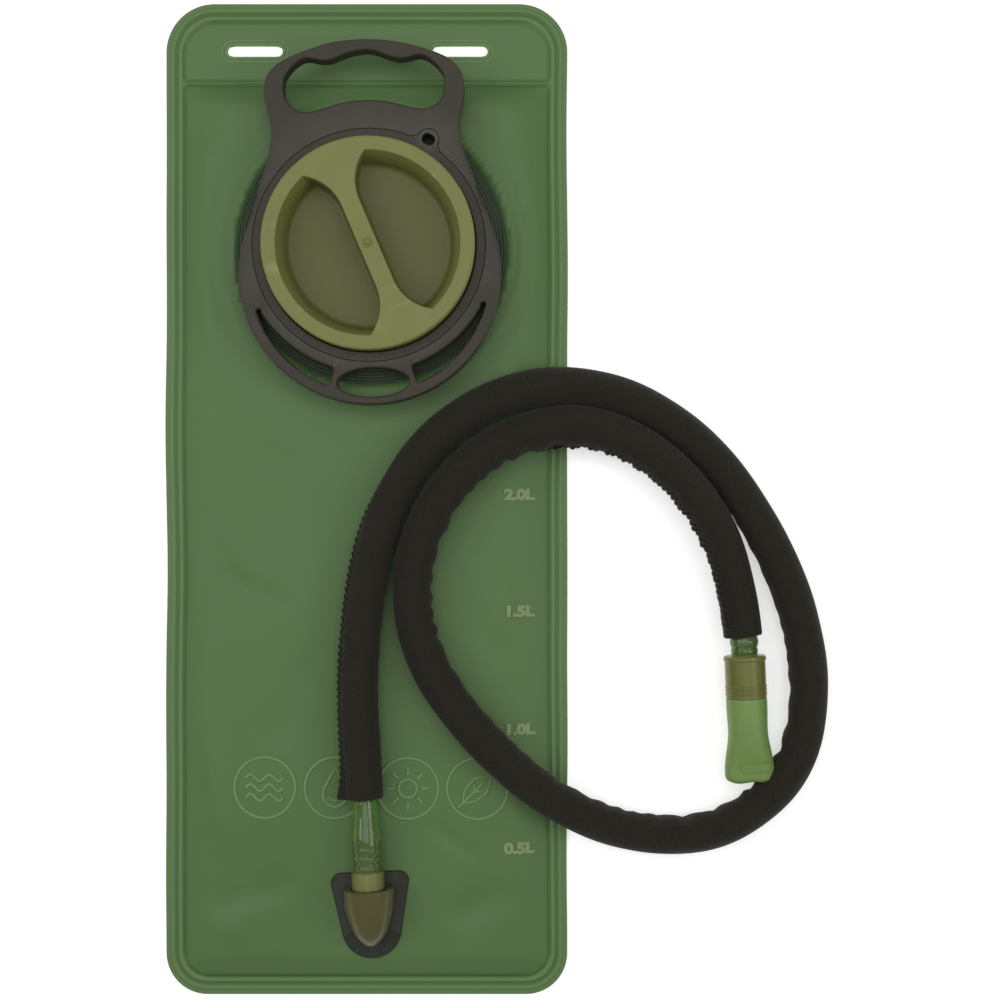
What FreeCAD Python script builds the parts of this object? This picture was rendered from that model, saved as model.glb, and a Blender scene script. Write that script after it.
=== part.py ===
import FreeCAD, Part
import math
import os

import Sketcher
from FreeCAD import Placement, Rotation, Vector

# Hydration bladder, lying on its back.  Millimetres, +Z up, +Y towards the tab.
# The origin is under the middle of the bag.  Every size below can be changed by itself.
SIZES = {
    # bag film
    "bag_width": 170.0,
    "bag_length": 420.0,
    "film": 0.6,
    "top_corner": 20.5,
    "bottom_corner": 17.5,
    "weld_border": 7.6,
    "bag_puff": 7.0,
    "tab_height": 35.0,
    "side_slope": 11.0,
    "end_slope": 5.5,
    # hanging slots
    "slot_length": 23.5,
    "slot_width": 4.6,
    "slot_spacing": 87.0,
    "slot_middle": -3.9,
    "slot_from_top": 20.0,
    # filling port
    "neck_x": 2.3,
    "neck_from_top": 105.0,
    "neck_bore": 39.0,
    "neck_wall": 1.6,
    "neck_rim": 24.5,
    "port_weld": 24.5,
    "port_to_edge": 21.4,
    "port_flange_wall": 0.8,
    "film_hole_inset": 6.7,
    "shoulder": 11.0,
    "shoulder_inset": 7.0,
    "shoulder_ribs": 5,
    "shoulder_rib_pitch": 1.3,
    "thread_above_shoulder": 4.5,
    "thread_lead": 12.0,
    "thread_starts": 3,
    "thread_depth": 1.1,
    "thread_base": 1.8,
    "thread_crest": 0.9,
    "thread_gap": 0.4,
    # collar and handle
    "collar_seat": 3.4,
    "collar_flange_wall": 1.4,
    "collar_reach": 9.1,
    "collar_gap": 0.45,
    "lug_stand": 1.9,
    "lug_angle": 60.6,
    "lug_round": 4.3,
    "lug_blend": 4.5,
    "lug_hole": 2.4,
    "lug_hole_stretch": 1.0,
    "handle_top": 21.0,
    "handle_turn": 1.8,
    "handle_gap": 0.3,
    "handle_reach": 6.2,
    "handle_drop_share": 0.2136,
    "handle_edge_share": 0.01657,
    # cap
    "cap_overhang": 4.9,
    "cap_top": 28.5,
    "cap_plate": 2.8,
    "cap_skirt_wall": 1.8,
    "cap_skirt_end": 13.5,
    "cap_rim": 5.9,
    "well_depth": 12.0,
    "well_draft": 4.2,
    "well_wall": 1.5,
    "bar_half": 3.9,
    "bar_straight": 18.0,
    "bar_flare": 20.0,
    "bar_angle": 23.1,
    "cap_edge": 1.0,
    "well_foot": 2.2,
    "well_lip": 0.5,
    "gasket_wall": 1.2,
    "seal_gap": 0.05,
    # outlet and plug
    "outlet_x": 1.8,
    "outlet_y": -162.0,
    "outlet_turn": 2.5,
    "outlet_plate": 1.4,
    "flange_half": 16.4,
    "flange_above": 5.2,
    "flange_corner": 4.2,
    "flange_end": 12.5,
    "flange_end_from": 18.6,
    "dome_radius": 10.4,
    "dome_length": 24.0,
    "spigot": 5.0,
    "spigot_gap": 0.05,
    "spigot_length": 7.0,
    "mouth_recess": 1.5,
    "throat": 3.2,
    "chamber": 4.2,
    "poppet_lift": 3.0,
    "poppet_gap": 0.3,
    "plug_collar": 6.9,
    "plug_collar_length": 7.0,
    "fitting_bore": 2.2,
    "tube_bore": 3.2,
    "tube_radius": 4.75,
    "barb": 4.6,
    "barb_pitch": 3.6,
    "barb_count": 3,
    "sleeve_gap": 0.75,
    "sleeve_wall": 2.7,
    "sleeve_start": 30.5,
    "sleeve_end": 7.5,
    "hose_clear": 0.5,
    "ring_wire": 0.9,
    # bite valve
    "valve_from_bag": 73.9,
    "valve_y": -63.3,
    "valve_turn": 2.5,
    "barrel": 5.6,
    "barrel_length": 17.4,
    "lock_gap": 0.08,
    "lock_radius": 8.9,
    "lock_length": 17.5,
    "nose": 4.4,
    "nose_length": 12.0,
    "bite_length": 35.8,
    "bite_waist": 8.4,
    "bite_flare": 10.1,
}

# Sizes that follow from others, so that the fits hold when one of those is changed.
FORMULAS = {
    "port_flange": "min(neck_bore + port_weld; bag_width / 2 - port_to_edge)",
    "collar_ring": "neck_bore + collar_reach",
    "collar_flange": "collar_ring + collar_seat",
    "lug_reach": "collar_ring + lug_stand",
    "handle_ring": "collar_ring + handle_reach",
    "handle_ring_drop": "handle_ring * handle_drop_share",
    "handle_edge": "handle_ring * handle_edge_share",
    "cap_radius": "neck_bore + cap_overhang",
    "well_radius": "cap_radius - cap_rim",
    "sleeve_radius": "tube_radius + sleeve_gap + sleeve_wall",
    "outlet_z": "bag_puff + sleeve_radius + hose_clear",
    "valve_x": "bag_width / 2 + valve_from_bag",
    "valve_z": "bite_flare + hose_clear",
}

# Free line of the hose from the plug to the bite valve, laid out for a bag of this half
# width, a sleeve of this radius and an outlet of this height.
ROUTE_HALF_WIDTH, ROUTE_SLEEVE, ROUTE_OUTLET = 85.0, 8.2, 15.7
LOOP_FROM, OVER_BAG = 60.0, 15.0
# The loop's upper half drops when the handle's ring comes further down than this, and the
# drop fades out down to this height.
ROUTE_RING_LOW, DROP_FADES = 39.1, -110.0
# The second turn lies inside the first, and moves in towards this point when the sleeve grows.
LOOP_MIDDLE = (95.0, -45.0)
SECOND_TURN = range(16, 23)
TUCK = 2.6
HOSE_ROUTE = [
    (1.5, -155.0, 15.7), (-0.1, -118.0, 15.7), (-3.0, -79.0, 15.7), (0.0, -40.0, 15.7),
    (8.7, -2.8, 15.7), (30.7, 28.9, 15.7), (65.0, 47.5, 17.0), (104.1, 46.6, 8.5),
    (138.6, 26.6, 8.5), (162.8, -4.3, 8.5), (180.0, -39.0, 8.5), (188.0, -77.0, 8.5),
    (181.0, -116.0, 8.5), (149.0, -141.0, 8.5), (111.0, -141.0, 8.5), (76.0, -125.0, 17.0),
    (45.0, -97.0, 15.7), (23.1, -65.7, 15.7), (18.1, -28.2, 16.7), (33.8, 7.3, 17.9),
    (66.4, 30.1, 18.0), (104.6, 29.8, 12.8), (136.3, 7.1, 15.5), (156.0, -29.0, 10.7),
    (159.0, -65.2, 10.6),
]

doc = FreeCAD.newDocument("hydration_bladder")
sheet = doc.addObject("Spreadsheet::Sheet", "Sizes")
for row, (name, entry) in enumerate(list(SIZES.items()) + list(FORMULAS.items()), 1):
    sheet.set(f"A{row}", name.replace("_", " "))
    sheet.setAlias(f"B{row}", name)
    sheet.set(f"B{row}", "=" + entry if name in FORMULAS else str(entry))
doc.recompute()


class Dim:
    """A length that carries both its number and the sheet formula behind it."""

    def __init__(self, text, number):
        self.text = text
        self.number = number

    def joined(self, sign, other, swap=False):
        other = as_dim(other)
        left, right = (other, self) if swap else (self, other)
        numbers = {"+": left.number + right.number,
                   "-": left.number - right.number,
                   "*": left.number * right.number,
                   "/": left.number / right.number if right.number else 0.0}
        return Dim(f"({left.text} {sign} {right.text})", numbers[sign])

    def __add__(self, other):
        return self.joined("+", other)

    def __radd__(self, other):
        return self.joined("+", other, True)

    def __sub__(self, other):
        return self.joined("-", other)

    def __rsub__(self, other):
        return self.joined("-", other, True)

    def __mul__(self, other):
        return self.joined("*", other)

    def __rmul__(self, other):
        return self.joined("*", other, True)

    def __truediv__(self, other):
        return self.joined("/", other)

    def __neg__(self):
        return 0 - self


def as_dim(value):
    return value if isinstance(value, Dim) else Dim(repr(float(value)), float(value))


def dim(name):
    return Dim("Sizes." + name, float(sheet.get(name)))


def number(name):
    return float(sheet.get(name))


def new_body(name, x=0.0, y=0.0, z=0.0, turn=0.0):
    body = doc.addObject("PartDesign::Body", name)
    body.Label = name
    body.Placement = Placement(Vector(0, 0, 0), Rotation(Vector(0, 0, 1), as_dim(turn).number))
    for axis, place in zip("xyz", (x, y, z)):
        body.setExpression("Placement.Base." + axis, as_dim(place).text)
    doc.recompute()
    return body


def new_sketch(body, role, lift=None):
    sketch = body.newObject("Sketcher::SketchObject", body.Name + "_sketch")
    plane = next(item for item in body.Origin.OriginFeatures if item.Role == role)
    sketch.AttachmentSupport = [(plane, "")]
    sketch.MapMode = "FlatFace"
    if lift is not None:
        sketch.setExpression("AttachmentOffset.Base.z", as_dim(lift).text)
    return sketch


def outline(body, role, points, lift=None):
    """A closed polygon sketch whose corners are all tied to the sheet."""
    sketch = new_sketch(body, role, lift)
    corners = [(as_dim(u), as_dim(v)) for u, v in points]
    spots = [Vector(u.number, v.number, 0) for u, v in corners]
    count = len(spots)
    for index in range(count):
        sketch.addGeometry(Part.LineSegment(spots[index], spots[(index + 1) % count]), False)
    for index in range(count):
        sketch.addConstraint(Sketcher.Constraint("Coincident", index, 2, (index + 1) % count, 1))
    for index, (u, v) in enumerate(corners):
        for kind, value, line in (("DistanceX", u, -2), ("DistanceY", v, -1)):
            if value.number == 0.0:
                sketch.addConstraint(Sketcher.Constraint("PointOnObject", index, 1, line))
                continue
            rule = Sketcher.Constraint(kind, -1, 1, index, 1, value.number)
            place = sketch.addConstraint(rule)
            sketch.setExpression(f"Constraints[{place}]", value.text)
    return sketch


def drawn(body, role, edges, lift=None):
    """A sketch from ready-made lines, arcs and curves."""
    sketch = new_sketch(body, role, lift)
    for edge in edges:
        sketch.addGeometry(edge, False)
    return sketch


def circle(x, y, radius):
    return Part.Circle(Vector(x, y, 0), Vector(0, 0, 1), radius)


def disc(body, role, radius, lift=None, x=0.0, y=0.0):
    """A circle sketch tied to the sheet."""
    radius, x, y = as_dim(radius), as_dim(x), as_dim(y)
    sketch = drawn(body, role, [circle(x.number, y.number, radius.number)], lift)
    place = sketch.addConstraint(Sketcher.Constraint("Radius", 0, radius.number))
    sketch.setExpression(f"Constraints[{place}]", radius.text)
    for kind, value, line in (("DistanceX", x, -2), ("DistanceY", y, -1)):
        if value.number == 0.0:
            sketch.addConstraint(Sketcher.Constraint("PointOnObject", 0, 3, line))
            continue
        place = sketch.addConstraint(Sketcher.Constraint(kind, -1, 1, 0, 3, value.number))
        sketch.setExpression(f"Constraints[{place}]", value.text)
    return sketch


def feature(body, kind, sketch, **settings):
    item = body.newObject("PartDesign::" + kind, body.Name + "_" + kind)
    item.Profile = sketch
    for name, value in settings.items():
        if isinstance(value, Dim):
            item.setExpression(name, value.text)
        else:
            setattr(item, name, value)
    doc.recompute()
    return item


def pad(body, sketch, length, **settings):
    return feature(body, "Pad", sketch, Length=as_dim(length), **settings)


def cut(body, sketch, length, **settings):
    """A pocket; it has to take material away."""
    before = body.Shape.Volume
    item = feature(body, "Pocket", sketch, Length=as_dim(length), **settings)
    if body.Shape.Volume >= before - 1e-6:
        raise RuntimeError(f"{body.Name}: pocket cuts nothing")
    return item


def revolve(body, sketch, angle=360.0):
    return feature(body, "Revolution", sketch, ReferenceAxis=(sketch, ["V_Axis"]), Angle=angle)


def round_edges(body, radius, wanted, kind="Fillet"):
    """Round every edge of the body for which wanted(edge) is true."""
    edges = [f"Edge{index}" for index, edge in enumerate(body.Shape.Edges, 1) if wanted(edge)]
    base = body.Tip
    item = body.newObject("PartDesign::" + kind, body.Name + "_" + kind)
    item.Base = (base, edges)
    item.setExpression("Radius" if kind == "Fillet" else "Size", as_dim(radius).text)
    doc.recompute()
    return item


def repeat(body, items, count):
    """Copy features round the body's Z axis."""
    pattern = body.newObject("PartDesign::PolarPattern", body.Name + "_pattern")
    pattern.Originals = items
    axis = next(item for item in body.Origin.OriginFeatures if item.Role == "Z_Axis")
    pattern.Axis = (axis, [""])
    pattern.Angle = 360.0
    pattern.Occurrences = int(count)
    body.Tip = pattern
    doc.recompute()
    return pattern


def arc(centre, radius, start, end):
    """A circular arc, counter-clockwise from start to end, in degrees."""
    whole = Part.Circle(Vector(centre[0], centre[1], 0), Vector(0, 0, 1), radius)
    return Part.ArcOfCircle(whole, math.radians(start), math.radians(end))


def line(start, end):
    return Part.LineSegment(Vector(start[0], start[1], 0), Vector(end[0], end[1], 0))


def rounded_box(left, right, low, high, low_corner, high_corner):
    """A rectangle with round corners, smaller at one end than at the other."""
    return [
        line((left + low_corner, low), (right - low_corner, low)),
        arc((right - low_corner, low + low_corner), low_corner, 270, 360),
        line((right, low + low_corner), (right, high - high_corner)),
        arc((right - high_corner, high - high_corner), high_corner, 0, 90),
        line((right - high_corner, high), (left + high_corner, high)),
        arc((left + high_corner, high - high_corner), high_corner, 90, 180),
        line((left, high - high_corner), (left, low + low_corner)),
        arc((left + low_corner, low + low_corner), low_corner, 180, 270),
    ]


# ---------------------------------------------------------------- bag film
half_width = number("bag_width") / 2
half_length = number("bag_length") / 2
slot_y = half_length - number("slot_from_top")


def bag_outline():
    return rounded_box(-half_width, half_width, -half_length, half_length,
                       number("bottom_corner"), number("top_corner"))


def slot_edges():
    """Both hanging slots, each a stadium."""
    radius = number("slot_width") / 2
    reach = number("slot_length") / 2 - radius
    edges = []
    for side in (-0.5, 0.5):
        x = number("slot_middle") + side * number("slot_spacing")
        edges += [line((x - reach, slot_y - radius), (x + reach, slot_y - radius)),
                  arc((x + reach, slot_y), radius, -90, 90),
                  line((x + reach, slot_y + radius), (x - reach, slot_y + radius)),
                  arc((x - reach, slot_y), radius, 90, 270)]
    return edges


def make_back_panel():
    body = new_body("back_panel")
    pad(body, drawn(body, "XY_Plane", bag_outline()), dim("film"))
    cut(body, drawn(body, "XY_Plane", slot_edges()), dim("film"), Reversed=True)
    return body


def compartment(inset, side, end):
    """Outline of the water space, drawn in by inset and by a slope at the sides and ends."""
    border = number("weld_border")
    top = half_length - number("tab_height") - inset - end
    return rounded_box(-half_width + border + inset + side, half_width - border - inset - side,
                       -half_length + border + inset + end, top, 8.0, 3.0)


def make_front_panel():
    film = dim("film")
    body = new_body("front_panel")
    pad(body, drawn(body, "XY_Plane", bag_outline(), film), film)
    slope = (number("side_slope"), number("end_slope"))
    for kind, skin, low, high in (("AdditiveLoft", 0.0, 2 * film, dim("bag_puff")),
                                  ("SubtractiveLoft", number("film"), film,
                                   dim("bag_puff") - film)):
        base = drawn(body, "XY_Plane", compartment(skin, 0.0, 0.0), low)
        top = drawn(body, "XY_Plane", compartment(skin, *slope), high)
        feature(body, kind, base, Sections=[top])
    neck_y = dim("bag_length") / 2 - dim("neck_from_top")
    hole = disc(body, "XY_Plane", dim("port_flange") - dim("film_hole_inset"), 0.0, dim("neck_x"), neck_y)
    cut(body, hole, dim("bag_puff"), Reversed=True)
    drop = outlet_spot(-number("dome_length") / 2)
    cut(body, drawn(body, "XY_Plane", [circle(drop.x, drop.y, number("throat"))]),
        dim("bag_puff"), Reversed=True)
    cut(body, drawn(body, "XY_Plane", slot_edges()), 2 * film, Reversed=True)
    return body


# ---------------------------------------------------------------- filling port
def at_neck(name, turn=0.0):
    return new_body(name, dim("neck_x"), dim("bag_length") / 2 - dim("neck_from_top"), 0, turn)


# How deep a thread rib is rooted in its wall, and how far round each rib runs, in turns.
THREAD_ROOT, NECK_TURNS, CAP_TURNS = 0.2, 0.6, 0.3


def add_thread(body, root, crest, low, turns):
    """Trapezoid thread ribs, one per start, rising from low over part of a turn."""
    base, tip = dim("thread_base") / 2, dim("thread_crest") / 2
    points = [(root, low - base), (crest, low - tip), (crest, low + tip), (root, low + base)]
    sketch = outline(body, "XZ_Plane", points)
    rib = body.newObject("PartDesign::AdditiveHelix", body.Name + "_rib")
    rib.Profile = sketch
    rib.ReferenceAxis = (sketch, ["V_Axis"])
    rib.Mode = 0
    rib.setExpression("Pitch", "Sizes.thread_lead")
    rib.setExpression("Height", f"Sizes.thread_lead * {turns}")
    doc.recompute()
    repeat(body, [rib], number("thread_starts"))


def make_fill_port():
    body = at_neck("fill_port")
    bore, film = dim("neck_bore"), dim("film")
    neck = bore + dim("neck_wall")
    flange_top = dim("bag_puff") - film
    foot = dim("port_flange") - dim("shoulder_inset")
    ribs = int(number("shoulder_ribs"))
    pitch = dim("shoulder_rib_pitch")
    rise = (dim("shoulder") - flange_top) / dim("shoulder_ribs")
    points = [(bore, flange_top - dim("port_flange_wall")),
              (dim("port_flange"), flange_top - dim("port_flange_wall")),
              (dim("port_flange"), flange_top), (foot, flange_top)]
    for step in range(ribs):
        edge = foot - step * pitch
        points += [(edge, flange_top + (step + 1) * rise),
                   (edge - pitch / 2, flange_top + (step + 1) * rise),
                   (edge - pitch * 0.7, flange_top + (step + 0.5) * rise),
                   (edge - pitch, flange_top + (step + 0.5) * rise)]
    points += [(foot - ribs * pitch, dim("shoulder")), (neck, dim("shoulder")),
               (neck, dim("neck_rim")), (bore, dim("neck_rim"))]
    revolve(body, outline(body, "XZ_Plane", points))
    low = dim("shoulder") + dim("thread_above_shoulder")
    add_thread(body, neck - THREAD_ROOT, neck + dim("thread_depth"), low, NECK_TURNS)
    return body


def lug_edges(extra):
    """Lug outline that grows out of the collar ring, wider by extra all round."""
    ring = number("collar_ring")
    reach = number("lug_reach")
    tip = number("lug_round") + extra
    blend = number("lug_blend") - extra
    angle = number("lug_angle")
    root = ring - 3.0
    near, far = ring + extra + blend, tip + blend
    turn = math.degrees(math.acos((reach ** 2 + near ** 2 - far ** 2) / (2 * reach * near)))
    middle = Vector(*polar(reach, angle), 0)
    edges, tips = [], []
    for way in (angle - turn, angle + turn):
        centre = Vector(*polar(near, way), 0)
        foot = Vector(*polar(ring + extra, way), 0)
        meet = middle + (centre - middle) * (tip / far)
        inward = (foot - centre) + (meet - centre)
        inward.normalize()
        edges.append(Part.Arc(foot, centre + inward * blend, meet))
        edges.append(Part.LineSegment(Vector(*polar(root, way), 0), foot))
        tips.append(meet)
    edges.append(Part.Arc(tips[0], Vector(*polar(reach + tip, angle), 0), tips[1]))
    edges.append(arc((0, 0), root, angle - turn, angle + turn))
    return edges


def polar(radius, angle):
    return (radius * math.cos(math.radians(angle)), radius * math.sin(math.radians(angle)))


def make_port_collar():
    body = at_neck("port_collar")
    neck = dim("neck_bore") + dim("neck_wall") + 0.1
    skirt_room = dim("cap_radius") + dim("collar_gap")
    low, top = dim("shoulder"), dim("handle_top")
    step = low + dim("collar_flange_wall")
    points = [(neck, low), (dim("collar_flange"), low), (dim("collar_flange"), step),
              (dim("collar_ring"), step), (dim("collar_ring"), top), (skirt_room, top),
              (skirt_room, step), (neck, step)]
    revolve(body, outline(body, "XZ_Plane", points))
    pad(body, drawn(body, "XY_Plane", lug_edges(0.0), step), top - step)
    angle = number("lug_angle")
    middle = polar(number("lug_reach") + 0.1, angle)
    radius = number("lug_hole")
    reach = number("lug_hole_stretch") / 2
    way = polar(reach, angle - 90)
    ends = [(middle[0] + sign * way[0], middle[1] + sign * way[1]) for sign in (1, -1)]
    side = polar(radius, angle)
    edges = [arc(ends[0], radius, angle - 180, angle), arc(ends[1], radius, angle, angle + 180)]
    edges += [line((ends[0][0] + sign * side[0], ends[0][1] + sign * side[1]),
                   (ends[1][0] + sign * side[0], ends[1][1] + sign * side[1]))
              for sign in (1, -1)]
    cut(body, drawn(body, "XY_Plane", edges, low), top - low, Reversed=True)
    round_edges(body, 0.4, lambda edge: flat_at(edge, top.number) and whole_circle(edge))
    return body


def whole_circle(edge):
    return isinstance(edge.Curve, Part.Circle) and abs(edge.Length - math.tau * edge.Curve.Radius) < 0.01


def flat_at(edge, height):
    box = edge.BoundBox
    return abs(box.ZMin - height) < 1e-4 and abs(box.ZMax - height) < 1e-4


# Half of the handle's outer edge, from the top middle to where it meets the lower ring.
HANDLE_LAID_FOR = 54.3
HANDLE_SIDE = [(0.0, 85.3), (21.0, 82.2), (30.4, 78.9), (36.4, 75.6), (40.2, 71.0),
               (41.5, 65.0), (40.6, 58.0), (39.2, 51.5), (39.3, 44.0), (41.3, 35.5),
               (44.6, 26.0)]
# Half of the finger window, from the top middle to the bottom middle.
WINDOW_SIDE = [(0.0, 80.7), (8.0, 79.0), (14.3, 76.9), (19.0, 77.2), (23.3, 78.0),
               (27.4, 76.4), (30.6, 73.4), (32.6, 70.5), (33.3, 66.9), (32.7, 61.8),
               (30.3, 58.2), (27.0, 56.2), (23.6, 55.8), (17.5, 57.0), (9.0, 59.3), (0.0, 60.0)]
RING_JOIN = 26.5
WINDOW_ROUND = 1.2
# Opening at the bottom of the ring: half length, half height, and its rise off the middle.
LENS_HALF, LENS_RISE, LENS_UP = 15.0, 6.0, 0.3
# Windows beside it: rims left inside and outside, the angles of their corners and middles.
RIM_IN, RIM_OUT = 4.6, 4.7
CORNER_TOP, CORNER_TIP, CORNER_NEAR, CORNER_FAR = 59.9, 73.0, 17.6, 21.5
MIDDLE_IN, MIDDLE_OUT, TOP_BULGE = 38.0, 48.0, (0.25, 1.2)
SPOKE_BELOW, SPOKE_BESIDE = 45.0, 23.0


def smooth(points, start=None, end=None, closed=False):
    curve = Part.BSplineCurve()
    spots = [Vector(x, y, 0) for x, y in points]
    if closed:
        curve.interpolate(Points=spots, PeriodicFlag=True)
    elif start is None:
        curve.interpolate(Points=spots)
    else:
        curve.interpolate(Points=spots, InitialTangent=Vector(*start, 0),
                          FinalTangent=Vector(*end, 0))
    return curve


def handle_scale():
    """How much larger the handle is than the one its outlines are drawn for."""
    return number("handle_ring") / HANDLE_LAID_FOR


def scaled(points):
    return [(x * handle_scale(), y * handle_scale()) for x, y in points]


def handle_edges():
    """Outer edge of the handle: a grip on top and a round ring below."""
    ring = number("handle_ring")
    drop = number("handle_ring_drop")
    join = polar(ring, RING_JOIN)
    corner = (join[0], join[1] - drop)
    way = (math.sin(math.radians(RING_JOIN)), -math.cos(math.radians(RING_JOIN)))
    right = scaled(HANDLE_SIDE) + [corner]
    left = [(-x, y) for x, y in reversed(right)]
    bottom = arc((0, -drop), ring, 180 - RING_JOIN, 360 + RING_JOIN)
    return [smooth(right, (1, 0), way), smooth(left, (way[0], -way[1]), (1, 0)), bottom]


def crescent_edges(sign):
    """Window between the neck ring and the outer ring, on one side."""
    inner = number("collar_ring") + RIM_IN * handle_scale()
    outer = number("handle_ring") - RIM_OUT * handle_scale()
    first, near = below(inner, sign * CORNER_TOP), below(inner, sign * CORNER_NEAR)
    tip, far = below(outer, sign * CORNER_TIP, True), below(outer, sign * CORNER_FAR, True)
    inner_mid = below(inner, sign * MIDDLE_IN)
    outer_mid = below(outer, sign * MIDDLE_OUT, True)
    bulge = scaled([(sign * TOP_BULGE[0], TOP_BULGE[1])])[0]
    top = ((first[0] + tip[0]) / 2 + bulge[0], (first[1] + tip[1]) / 2 + bulge[1])
    return [Part.Arc(flat(first), flat(inner_mid), flat(near)),
            line(near, far),
            Part.Arc(flat(far), flat(outer_mid), flat(tip)),
            Part.Arc(flat(tip), flat(top), flat(first))]


def below(radius, angle, dropped=False):
    """A point this far round from the bottom, on the neck's circle or the dropped ring's."""
    x, y = polar(radius, 270 + angle)
    return x, y - (number("handle_ring_drop") if dropped else 0.0)


def flat(point):
    return Vector(point[0], point[1], 0)


def make_handle_frame():
    body = at_neck("handle_frame", dim("handle_turn"))
    low = dim("shoulder") + dim("collar_flange_wall")
    height = dim("handle_top") - low
    pad(body, drawn(body, "XY_Plane", handle_edges(), low), height)
    window = scaled(WINDOW_SIDE + [(-x, y) for x, y in reversed(WINDOW_SIDE[1:-1])])
    cut(body, drawn(body, "XY_Plane", [smooth(window, closed=True)], low), height, Reversed=True)
    bottom = number("handle_ring") + number("handle_ring_drop")
    middle = LENS_UP - (number("collar_ring") + bottom) / 2
    lens = Part.Ellipse(Vector(0, middle, 0), LENS_HALF * handle_scale(), LENS_RISE)
    cut(body, drawn(body, "XY_Plane", [lens], low), height, Reversed=True)
    for sign in (-1, 1):
        cut(body, drawn(body, "XY_Plane", crescent_edges(sign), low), height, Reversed=True)
    round_edges(body, WINDOW_ROUND * handle_scale(), lambda edge: is_upright(edge) and at_spoke(edge))
    gap = number("handle_gap")
    hole = disc(body, "XY_Plane", dim("collar_ring") + dim("handle_gap"), low)
    cut(body, hole, height, Reversed=True)
    turn = number("handle_turn")
    notch = drawn(body, "XY_Plane", lug_edges(gap), low)
    notch.AttachmentOffset = Placement(notch.AttachmentOffset.Base,
                                       Rotation(Vector(0, 0, 1), -turn))
    notch.setExpression("AttachmentOffset.Base.z", low.text)
    cut(body, notch, height, Reversed=True)
    top = number("handle_top")
    round_edges(body, dim("handle_edge"), lambda edge: flat_at(edge, top) and open_edge(edge))
    return body


def is_upright(edge):
    box = edge.BoundBox
    return box.XLength < 1e-4 and box.YLength < 1e-4 and box.ZLength > 1.0


def at_spoke(edge):
    """The four corners beside the spokes of the lower ring."""
    box = edge.BoundBox
    x = box.XMin - number("neck_x")
    y = box.YMin - (half_length - number("neck_from_top"))
    return y < -SPOKE_BELOW * handle_scale() and abs(x) < SPOKE_BESIDE * handle_scale()


def open_edge(edge):
    """Outer edge and windows, not the joint line round the collar."""
    point = edge.valueAt((edge.FirstParameter + edge.LastParameter) / 2)
    x = point.x - number("neck_x")
    y = point.y - (half_length - number("neck_from_top"))
    radius = math.hypot(x, y)
    lug = polar(number("lug_reach"), number("lug_angle"))
    beside_lug = math.hypot(x - lug[0], y - lug[1]) < number("lug_round") + 6
    return radius > number("collar_ring") + 2 and not beside_lug


# ---------------------------------------------------------------- cap
def well_edges(shrink):
    """One finger well: a round outer side, a straight bar side and two flared ends."""
    radius = number("well_radius") - shrink
    half, straight, flare = number("bar_half"), number("bar_straight"), number("bar_flare")
    centre = (half + flare, straight)
    gap = math.hypot(*centre)
    base = math.degrees(math.atan2(centre[1], centre[0]))
    swing = math.degrees(math.acos((radius ** 2 + gap ** 2 - flare ** 2) / (2 * radius * gap)))
    meet = base + swing
    corner = polar(radius, meet)
    way = math.degrees(math.atan2(corner[1] - centre[1], corner[0] - centre[0]))
    return [arc((0, 0), radius, -meet, meet),
            arc(centre, flare, way, 180),
            line((half, straight), (half, -straight)),
            arc((centre[0], -centre[1]), flare, 180, 360 - way)]


def make_screw_cap():
    body = at_neck("screw_cap", dim("bar_angle"))
    top = dim("cap_top")
    plate = top - dim("cap_plate")
    floor = top - dim("well_depth")
    skirt = dim("cap_radius") - dim("cap_skirt_wall")
    plug_top = dim("well_radius") - dim("well_draft") * dim("cap_plate") / dim("well_depth")
    plug_top = plug_top + dim("well_wall")
    plug_low = dim("well_radius") - dim("well_draft") + dim("well_wall")
    under = floor - dim("well_wall")
    points = [(0, under), (plug_low, under), (plug_top, plate), (skirt, plate),
              (skirt, dim("cap_skirt_end")), (dim("cap_radius"), dim("cap_skirt_end")),
              (dim("cap_radius"), top), (0, top)]
    revolve(body, outline(body, "XZ_Plane", points))
    # midway between two ribs of the neck's thread, allowing for the body's own turn
    lead = dim("thread_lead")
    between = lead * dim("bar_angle") / 360 + lead / (dim("thread_starts") * 2)
    low = dim("shoulder") + dim("thread_above_shoulder") + between
    crest = dim("neck_bore") + dim("neck_wall") + dim("thread_gap")
    add_thread(body, skirt + THREAD_ROOT, crest, low, CAP_TURNS)
    shrink = number("well_draft")
    upper = drawn(body, "XY_Plane", well_edges(0.0), top)
    lower = drawn(body, "XY_Plane", well_edges(shrink), floor)
    well = feature(body, "SubtractiveLoft", upper, Sections=[lower])
    repeat(body, [well], 2)
    height, bottom = top.number, floor.number
    rim = (number("well_radius") + number("cap_radius")) / 2
    round_edges(body, dim("well_foot"), lambda edge: flat_at(edge, bottom))
    round_edges(body, dim("well_lip"), lambda edge: flat_at(edge, height) and reach_of(edge) < rim)
    round_edges(body, dim("cap_edge"), lambda edge: flat_at(edge, height) and reach_of(edge) > rim)
    return body


def reach_of(edge):
    """Greatest distance of an edge's middle from the neck axis."""
    point = edge.valueAt((edge.FirstParameter + edge.LastParameter) / 2)
    return math.hypot(point.x - number("neck_x"),
                      point.y - (half_length - number("neck_from_top")))


def make_cap_gasket():
    body = at_neck("cap_gasket")
    plate = dim("cap_top") - dim("cap_plate")
    rim = dim("neck_rim") + dim("seal_gap")
    inner = dim("neck_bore") - 0.2
    outer = dim("neck_bore") + dim("neck_wall") + dim("gasket_wall") - 0.2
    points = [(inner, rim), (outer, rim), (outer, plate), (inner, plate)]
    revolve(body, outline(body, "XZ_Plane", points))
    return body


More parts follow.
